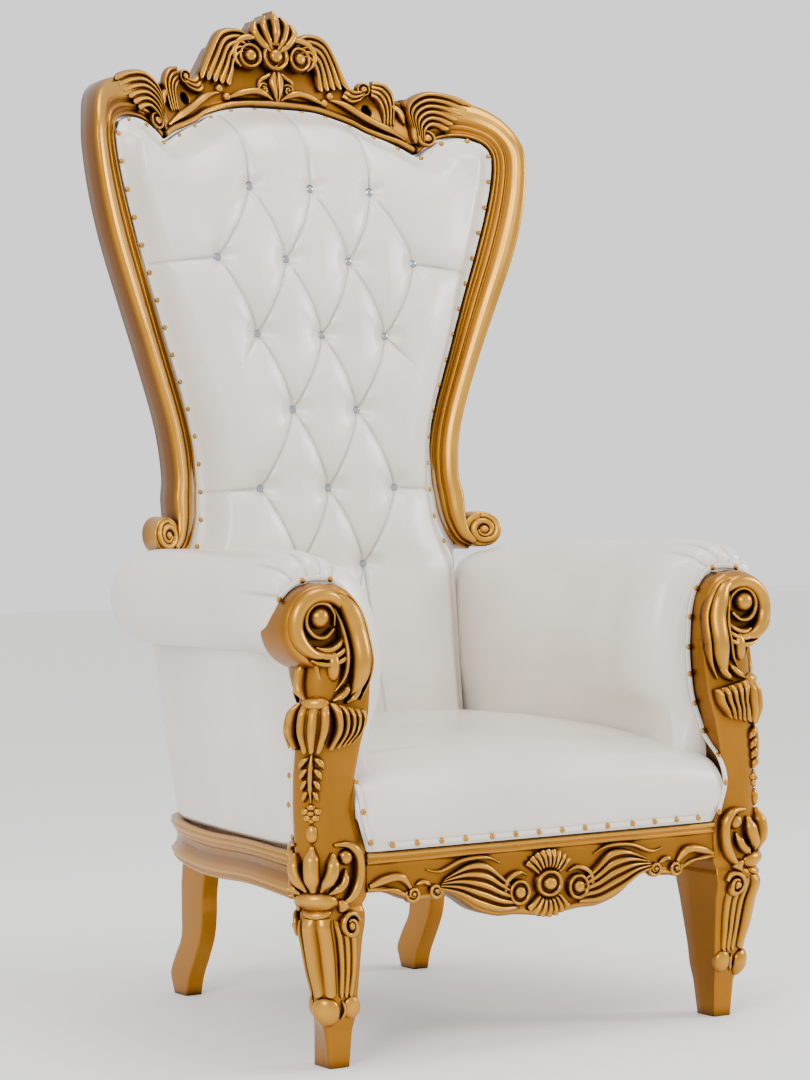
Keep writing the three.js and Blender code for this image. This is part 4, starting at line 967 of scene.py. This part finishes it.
# ---- the side rails ----
# Gilded hardwood rails tenoned between the arm posts and the rear legs, bowed in to the rear corners,
# with three mouldings above a cove and three below.
SIDE_RAIL_START = 94.3
SIDE_RAIL_PLAN = [(405, SIDE_RAIL_START), (397, 200), (381, 330), (361, 460), (339, 580), (316, 650),
                  (286, 710), (242, 745)]
SIDE_RAIL_FACE = [(0, 0), (0.02, 4), (0.06, 6), (0.1, 4), (0.13, 5), (0.17, 9), (0.22, 9), (0.25, 5),
                  (0.28, 5), (0.31, 3), (0.36, 0), (0.5, -2), (0.64, 0), (0.68, 3), (0.72, 5), (0.76, 4),
                  (0.79, 7), (0.84, 10), (0.88, 8), (0.9, 6), (0.93, 9), (0.97, 8), (1, 3)]
SIDE_RAIL_FOOT, SIDE_RAIL_THICKNESS, SIDE_RAIL_WAVE = 258, 30, 4


def outward_of(path):
    """Unit vectors square to a plan curve, pointing away from the chair."""
    run = np.gradient(path, axis=0)
    run /= np.linalg.norm(run, axis=1)[:, None]
    return np.stack([run[:, 1], -run[:, 0]], axis=-1)[:, None, :]


def side_rail_body():
    path = even_curve(SIDE_RAIL_PLAN, 160)
    outward = outward_of(path)
    outward[0] = (1, 0)
    wave = SIDE_RAIL_WAVE * np.sin(2 * np.pi * (1.6 * np.linspace(0, 1, len(path)) - 0.1))[:, None]
    low, high = SIDE_RAIL_FOOT + wave, RAIL_TOP - 2 + 0.5 * wave
    profile = np.array(SIDE_RAIL_FACE)
    share = np.linspace(0, 1, 60)
    lift = np.interp(share, profile[:, 0], profile[:, 1])
    share = np.concatenate([share, [1.0, 0.0]])
    depth = np.concatenate([lift, [-SIDE_RAIL_THICKNESS] * 2])
    flat = path[:, None, :] + outward * depth[None, :, None]
    z = low + share * (high - low)
    return loft(np.dstack([flat, z]), np.clip(0.3 + depth / 14, 0.1, 0.9))


side_rail = side_rail_body()
pair("side_rail_moulding", side_rail, gold_paint, "side_rail", carving=side_rail[2])


# ---- the back rail and the rear legs ----
# Plain painted timber: a straight rail tenoned between the rear corners, and two sabre legs sawn from
# a board, with softened edges.
REAR_LEG_BACK = [(746, 250), (754, 200), (755, 150), (758, 105), (783, 68), (800, 40), (798, 24), (787, 0)]
REAR_LEG_FRONT = [(658, 250), (672, 190), (675, 150), (684, 110), (706, 70), (728, 34), (740, 0)]
REAR_LEG_X, REAR_LEG_HALF = 242, 15.8
BACK_RAIL_MIDDLE, BACK_RAIL_HALF, BACK_RAIL_ENDS = (730, 296.5), (14, 36.5), (-219.9, -219, 219, 219.9)
HIDDEN_SHADE = 0.9


def soft_ring(u, v):
    """Ring of a rounded square between -u, u and -v, v."""
    corner = 0.12
    turn = np.linspace(0, np.pi / 2, 7)
    quarter = np.stack([1 - corner + corner * np.cos(turn), 1 - corner + corner * np.sin(turn)], axis=-1)
    signs = [(1, 1), (-1, 1), (-1, -1), (1, -1)]
    parts = [quarter[:: 1 if a * b > 0 else -1] * (a, b) for a, b in signs]
    return np.concatenate(parts) * (u, v)


def rear_leg():
    back, front = even_curve(REAR_LEG_BACK, 70), even_curve(REAR_LEG_FRONT, 70)
    rings = []
    ring = soft_ring(1, 1)
    share = (ring[:, 1] + 1) / 2
    for (yb, zb), (yf, zf) in zip(back, front):
        rings.append(np.column_stack([REAR_LEG_X + REAR_LEG_HALF * ring[:, 0], yf + (yb - yf) * share,
                                      zf + (zb - zf) * share]))
    return loft(rings)


bar = soft_ring(*BACK_RAIL_HALF) + BACK_RAIL_MIDDLE
back_rail = loft([np.column_stack([np.full(len(bar), x), bar]) for x in BACK_RAIL_ENDS])
piece("back_rail_timber", back_rail[0], back_rail[1], gold_paint, "back_rail",
      carving=back_rail[2] * HIDDEN_SHADE)
leg = rear_leg()
pair("rear_leg_timber", leg, gold_paint, "rear_leg", carving=leg[2])


# ---- the seat ----
# Foam on webbing under tight vinyl: a crowned seat whose front roll falls to the rail between the
# posts, where the cover is tacked.
SEAT_SKIN = [(-34, 338), (-43, 366), (-44, 402), (-33, 436), (-6, 460), (52, 478), (95, 485),
             (190, 494), (320, 500), (450, 503), (596, 502)]
SEAT_HALF, SEAT_FOOT, SEAT_BEHIND_POSTS = 296, 336, (90, 97)
SEAT_FRONT_HALF = 339


def seat_body():
    """The cover with a flat underside, narrower where it passes behind the posts."""
    skin = even_curve(SEAT_SKIN, 170)
    y, z = skin[:, :1], skin[:, 1:]
    beside_post = post_at(z)[0] - 0.8
    half = beside_post + (SEAT_HALF - beside_post) * smoothstep(y, *SEAT_BEHIND_POSTS)
    share = np.sin(np.linspace(-np.pi / 2, np.pi / 2, 130))[None, :]
    fall = np.where(y > SEAT_BEHIND_POSTS[1], 10 * share**4, 20 * np.abs(share) ** 3)
    edge = np.clip((np.abs(share) - 0.93) / 0.071, 0, 1)
    rounding = np.where(y > SEAT_BEHIND_POSTS[0], 14, 5) * (1 - np.sqrt(1 - edge**2))
    up = smoothstep(z, 345, 430)
    top = np.maximum(z - (fall + rounding) * up, SEAT_FOOT + 2)
    x = half * share
    inward = 6 * np.clip((np.abs(share) - 0.95) / 0.05, 0, 1) ** 2 * (y < 60)
    front = np.stack(np.broadcast_arrays(x, y + inward, top), axis=-1)
    back = front[[0, 60, 110, 169]].copy()
    back[..., 2] = SEAT_FOOT
    back[..., 0] = np.clip(back[..., 0], -SEAT_FRONT_HALF, SEAT_FRONT_HALF)
    return shell(front, back)


seat = piece("seat_upholstery", *seat_body(), vinyl, "seat_pad", slot="pearl_vinyl")


# ---- the arms ----
# Foam over a timber core under vinyl: the cover is drawn over the roll and gathered into pleats round
# its front end, behind the scroll.
ARM_STATIONS = [
    # y, middle x of the roll, its radius, x of the inner face
    (16, 408, 66, 300), (34, 406, 79, 272), (66, 405, 84, 257), (108, 404, 84, 260),
    (180, 403, 84, 272), (320, 400, 83, 281), (470, 396, 83, 281), (560, 389, 82, 278),
    (606, 382, 77, 276), (640, 372, 72, 276), (664, 358, 64, 278), (690, 346, 54, 284),
]
ROLL_Z, ARM_FOOT = 724, 341
PLEAT_ANGLES, PLEAT_DEPTH = (134, 108, 80, 48, 12), 11
ARM_END_MIDDLE = (402, 0, 690)


def arm_ring(y, middle, radius, inner):
    """Section of an arm: up the outside, over the roll and down the inner wall."""
    plan = np.array(SIDE_RAIL_PLAN[:6])
    outer = np.interp(max(y, SIDE_RAIL_START), plan[:, 1], plan[:, 0])
    angle = np.radians(-68 + 20 * np.arange(10))
    roll = np.stack([middle + radius * np.cos(angle), ROLL_Z + radius * np.sin(angle)], axis=-1)
    top = ROLL_Z + radius
    upright = float(smoothstep(y, 430, 640))
    wall = [
        (inner + 52 - 30 * upright, top - 38 + 20 * upright),
        (inner + 20 - 14 * upright, top - 84 + 20 * upright),
        (inner, 640), (inner + 6 - 5 * upright, 565),
        (max(inner + 20 - 16 * upright, 300 - 18 * upright), 505),
        (302 - 20 * upright, 420), (300 - 18 * upright, ARM_FOOT),
    ]
    outside = [(outer - 30, ARM_FOOT), (outer - 18, 420), (outer - 12, 500), (outer + 4, 600),
               (outer + 14, 636)]
    return even_curve(np.concatenate([outside, roll, wall]), 300)


def arm_body():
    """The arm's cover, with how much painted shade each point takes along its pleats."""
    stations = even_curve(ARM_STATIONS, 150)
    rings, creases = [], []
    for y, middle, radius, inner in stations:
        ring = arm_ring(y, middle, radius, inner)
        angle = np.degrees(np.arctan2(ring[:, 1] - ROLL_Z, ring[:, 0] - middle))
        ripple = sum(np.exp(-((np.abs(angle - a) / 8) ** 0.9)) for a in PLEAT_ANGLES)
        fading = (1 - smoothstep(y, 14, 140)) * smoothstep(ring[:, 1], 600, 680)
        depth = PLEAT_DEPTH * ripple * fading
        # Painted shade along the middle line of each pleat.
        lines = sum(np.exp(-(((angle - a) / 1.8) ** 2)) for a in PLEAT_ANGLES)
        creases.append(FOLD_SHADE * fading * lines)
        toward = np.array([middle, ROLL_Z]) - ring
        toward /= np.linalg.norm(toward, axis=1)[:, None]
        ring = ring + toward * depth[:, None]
        rings.append(np.column_stack([ring[:, 0], np.full(len(ring), y), ring[:, 1]]))
    first, middle = rings[0], np.array(ARM_END_MIDDLE, float)
    end_cap = []
    for k, forward in ((0.55, 5), (0.8, 4), (0.93, 2.5), (0.98, 1)):
        ring = middle + k * (first - middle)
        ring[:, 1] = ARM_STATIONS[0][0] - forward
        end_cap.append(ring)
    points, faces, _ = loft(np.stack(end_cap + rings))
    return points, faces, np.concatenate([creases[0]] * len(end_cap) + creases)


arm_cover = arm_body()
for arm in pair("arm_upholstery", arm_cover, vinyl, "arm_pad", crease=arm_cover[2], slot="pearl_vinyl"):
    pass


# ---- the side panels ----
# Thinly padded vinyl panels on the outside of the arms, tacked under the rolls and drawn down to the
# side rails.
SIDE_PANEL_SKIN = [
    # z, and how far it stands out from the side rail's line
    (337, -4), (400, 5), (500, 19), (590, 29), (634, 37), (652, 36),
]
SIDE_PANEL_THICKNESS, SIDE_PANEL_STATIONS, PANEL_DRAWN_IN = 14, 178, (94, 175)


def side_panel_body():
    path = even_curve(SIDE_RAIL_PLAN, 200)[:SIDE_PANEL_STATIONS]
    skin = even_curve(SIDE_PANEL_SKIN, 60)
    out = np.concatenate([skin[:, 1], skin[::-20, 1] - SIDE_PANEL_THICKNESS])
    z = np.concatenate([skin[:, 0], skin[::-20, 0]])
    behind = np.where(np.arange(len(z)) < len(skin), 0, SIDE_PANEL_THICKNESS)
    beside_post = post_at(z)[2] + 2 - SIDE_RAIL_PLAN[0][0] - behind
    drawn_in = smoothstep(path[:, 1], *PANEL_DRAWN_IN)[:, None]
    out = beside_post + (out - beside_post) * drawn_in
    flat = path[:, None, :] + outward_of(path) * out[..., None]
    return loft(np.dstack([flat, np.broadcast_to(z, flat.shape[:2])]))


for panel in pair("side_panel_cover", side_panel_body(), vinyl, "side_panel", slot="pearl_vinyl"):
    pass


# ---- the outside back ----
# Plain tight vinyl over the rear of the back, from the crest down to the back rail. It is tacked to the
# frame and has no buttons.
OUTSIDE_INSET, OUTSIDE_FRONT, OUTSIDE_THICKNESS, OUTSIDE_FOOT_Y = 6, 38, 12, 742


def outside_back_body():
    x, z = back_patch(90, 150, OUTSIDE_INSET)
    x = x * (1 + 0.06 * np.clip((785 - z) / 70, 0, 1))
    front = on_back(x, z, -OUTSIDE_FRONT)
    upper = front[..., 1] + OUTSIDE_THICKNESS
    rounded = 44 * (np.abs(x) / 290) ** 6
    lower = OUTSIDE_FOOT_Y + 0.05 * (z - RAIL_TOP) - rounded
    low_part = 1 - smoothstep(z, 770, 830)
    y = upper + low_part * np.maximum(lower - upper, 0)
    back = np.stack([x, y, z], axis=-1)
    return shell(back, front[[0, 50, 100, 149]])


outside = piece("outside_back_cover", *outside_back_body(), vinyl, "outside_back", slot="pearl_vinyl")


# ---- nailed strips ----
# Flat strips of the same vinyl cover the tacked edges of the upholstery, and round-headed nails with
# gold heads hold them.
STRIP_WIDTH, NAIL_RADIUS, NAIL_PITCH, SEAT_NAIL_PITCH = 8, 5, 50, 46
NAIL_STANDS, NAIL_RISE, NAIL_SHADE = 1.0, 3.4, 0.75
BORDER_INSET, ARM_TOP = 4, 800
SEAT_EDGE = [(352, -43), (402, -46), (436, -36), (456, -14), (476, 4), (500, 8)]
OVER_SCROLL = [(323, 645), (328, 690), (342, 730), (368, 757), (402, 763), (440, 755), (468, 732)]


def strip_and_nails(name, points, outward, pitch=NAIL_PITCH):
    """A strip along points, facing outward, with evenly spaced nails on it."""
    points = np.asarray(points, float)
    length = np.linalg.norm(np.diff(points, axis=0), axis=1).sum()
    path = even_curve(points, max(20, int(length / 5)))
    out = np.asarray(outward, float)
    out = out / np.linalg.norm(out, axis=-1, keepdims=True)
    out = np.broadcast_to(out, path.shape) if out.ndim == 1 else even_curve(out, len(path))
    run = np.gradient(path, axis=0)
    run /= np.linalg.norm(run, axis=1)[:, None]
    across = np.cross(run, out)
    across /= np.linalg.norm(across, axis=1)[:, None]
    section = [(-1, -2), (-1, 0.6), (-0.7, 1.2), (0.7, 1.2), (1, 0.6), (1, -2)]
    rings = [path + across * (u * STRIP_WIDTH / 2) + out * h for u, h in section]
    band = loft(np.stack(rings, axis=1))
    piece(f"{name}_strip", band[0], band[1], vinyl, slot="pearl_vinyl")
    nails = max(2, round(length / pitch) + 1)
    turn = np.linspace(0, np.pi / 2 - 0.05, 6)
    angle = np.linspace(0, 2 * np.pi, 16, endpoint=False)[:, None]
    bodies = []
    for k in np.linspace(0, len(path) - 1, nails).round().astype(int):
        rings = [path[k] + NAIL_RADIUS * np.cos(v) * (across[k] * np.cos(angle) + run[k] * np.sin(angle))
                 + out[k] * (NAIL_STANDS + NAIL_RISE * np.sin(v)) for v in turn]
        bodies.append(loft(rings, NAIL_SHADE))
    heads = joined(bodies)
    piece(f"{name}_nails", heads[0], heads[1], gold_paint, carving=heads[2])


def back_border_run():
    """From the left side over the top to the right side, a little inside the frame."""
    side = even_curve([(x - BORDER_INSET, z) for x, z in BACK_SIDE if z > ARM_TOP], 60)
    top = even_curve([(x, z - BORDER_INSET) for x, z in BACK_TOP][::-1], 60)[3:]
    half = np.concatenate([side[:-2], top])
    whole = np.concatenate([half, (half * (-1, 1))[::-1][1:]])
    return on_back(whole[:, 0], whole[:, 1], 5)


strip_and_nails("back_border", back_border_run(), (0, -1, 0))
seat_run = [(x, -40, 345) for x in np.linspace(-300, 300, 14)]
strip_and_nails("seat_front", seat_run, (0, -1, 0.12), SEAT_NAIL_PITCH)
post_edge_z, seat_edge_z = np.linspace(352, 640, 14), np.linspace(352, 500, 9)
arm_edge_z = np.linspace(520, 620, 5)
_, _, post_outer, _, post_back, _ = post_at(post_edge_z)
behind_post = np.column_stack([post_outer + 2, post_back + 6, post_edge_z])
beside_seat = np.column_stack([post_at(seat_edge_z)[0] - 4, np.interp(seat_edge_z, *np.transpose(SEAT_EDGE)),
                               seat_edge_z])
beside_arm = np.column_stack([post_at(arm_edge_z)[0] - 6, np.full(len(arm_edge_z), 8.0), arm_edge_z])
round_scroll = [(x, 8, z) for x, z in OVER_SCROLL]
front_run = np.concatenate([beside_seat, beside_arm, round_scroll])
for side, sign in (("right", 1), ("left", -1)):
    strip_and_nails(f"arm_edge_{side}", behind_post * (sign, 1, 1), (sign * 0.8, 0.2, 0))
    strip_and_nails(f"arm_front_{side}", front_run * (sign, 1, 1), (0, -1, 0))
